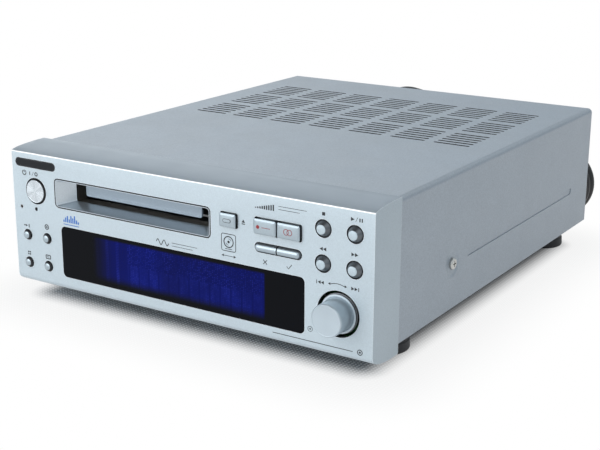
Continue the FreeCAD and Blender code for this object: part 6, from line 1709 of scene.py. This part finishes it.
@dataclass
class Studio:
    """Pale floor, soft lamps and a white surround."""

    floor_half: float = 4000.0
    core: Pair = (89.0, 107.5)  # half sizes of the area under the deck that stays cloth
    far: float = 17.5  # from that area, where the cloth has all but run out into white
    weave: float = 1.8
    gap: Colour = shade_of(128, 132, 136)  # between the threads
    thread: Colour = shade_of(206, 209, 211)
    bounced: Colour = shade_of(236, 238, 239)  # of the floor for what isn't seen directly
    white: Colour = (1.0, 1.0, 1.0, 1.0)
    behind: Colour = shade_of(206, 220, 230)
    before: Colour = shade_of(232, 242, 247)
    right_side: Colour = shade_of(96, 104, 112)
    left_side: Colour = (1.75, 1.84, 1.9, 1.0)
    sky: Colour = shade_of(178, 187, 196)
    shoulder: Colour = (1.3, 1.36, 1.4, 1.0)  # mirrored from the upper right
    overhead: Colour = shade_of(92, 88, 86)  # mirrored from above
    lamps: tuple[Lamp, ...] = (
        Lamp("front_lamp", (-600.0, -1600.0, 520.0), 1700.0, 21.0),
        Lamp("high_lamp", (-500.0, -900.0, 1300.0), 1000.0, 6.0, glossy=False),
    )

    def floor(self) -> None:
        """Cloth-like pale floor that keeps the shadow and runs out into white."""
        half = self.floor_half
        corners = np.array([[(-half, -half, 0), (half, -half, 0)], [(-half, half, 0), (half, half, 0)]], float)
        piece = Form("floor").grid(corners, wrap=False).made()
        material = bpy.data.materials.new("floor_cloth")
        net = Net.emptied(material)
        fine = net.split(net.place(scale=(1.0 / self.weave, 1.0 / self.weave, 1)))[:2]
        across, along = (net.eased(net.wave(part), 0.05, 0.4) for part in fine)
        thread = across * along
        flat = net.vector("ABSOLUTE", net.place((-3, 0, 0), (1, 1, 0)))
        reach = net.vector("LENGTH", net.vector("MAXIMUM", net.vector("SUBTRACT", flat, (*self.core, 0))))
        seen = net.ray("Camera", "Glossy", "Transmission")
        feeds = {
            "Base Color": net.mixed(seen, self.bounced, net.mixed(thread, self.gap, self.thread)),
            "Roughness": 0.9,
            "Normal": net.get("Bump", 0, {"Height": thread, "Distance": 0.4 * MM, "Strength": 0.6}),
            "Specular IOR Level": 0.2,
        }
        cloth = net.get("BsdfPrincipled", 0, feeds)
        white = net.get("Emission", 0, {"Color": self.white, "Strength": 1.0})
        run = net.eased(reach, 0.0, self.far, 0.0, 0.88) + net.eased(reach, 0.6 * self.far, 3.6 * self.far, 0.0, 0.12)
        net.add("OutputMaterial", {0: net.get("MixShader", 0, {0: run * seen, 1: cloth, 2: white})})
        piece.data.materials.append(material)

    def surround(self) -> None:
        """White seen by the camera, and a softer light from above than from the horizon for everything else."""
        world = bpy.data.worlds.new("surround")
        bpy.context.scene.world = world
        net = Net.emptied(world)
        side, depth, height = net.split(net.get("TexCoord", "Generated"))
        glossy = net.ray("Glossy")
        tone = net.mixed(net.eased(depth * -1.0, -0.6, 0.6), self.behind, self.before)
        tone = net.mixed(net.eased(side, 0.15, 0.85) * (1.0 - glossy), tone, self.right_side)
        tone = net.mixed(net.eased(side, -0.25, -0.7), tone, self.left_side)
        tone = net.mixed(net.eased(height, 0.1, 0.75), tone, self.sky)
        across = side + 0.5
        shoulder = net.eased(across, 0.35, 0.65) * net.eased(height, 0.25, 0.45)
        tone = net.mixed(glossy * shoulder, tone, self.shoulder)
        tone = net.mixed(glossy * net.eased(height - across * 0.4, 0.38, 0.75), tone, self.overhead)
        soft = net.get("Background", 0, {"Color": tone, "Strength": 0.8})
        plain = net.get("Background", 0, {"Color": self.white, "Strength": 1.0})
        net.add("OutputWorld", {0: net.get("MixShader", 0, {0: net.ray("Camera"), 1: soft, 2: plain})})

    def build(self) -> None:
        """Makes the floor, the surround and the lamps."""
        self.floor()
        self.surround()
        for lamp in self.lamps:
            lamp.place()
        bpy.context.scene.view_settings.view_transform = "Standard"


def main() -> None:
    """Builds the deck's pieces on the frame."""
    logging.basicConfig(level=logging.INFO, format="%(message)s")
    bench = Bench(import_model())
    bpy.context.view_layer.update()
    Viewpoint().place()
    MainsLead().build(bench)
    for part in (FrontPanel(), FacePrint(), SlotUnit(), Keys(), JogDial(), Casing(), RearSockets(), Carried()):
        part.build(bench)
    Studio().build()
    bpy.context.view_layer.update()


if __name__ == "__main__":
    main()
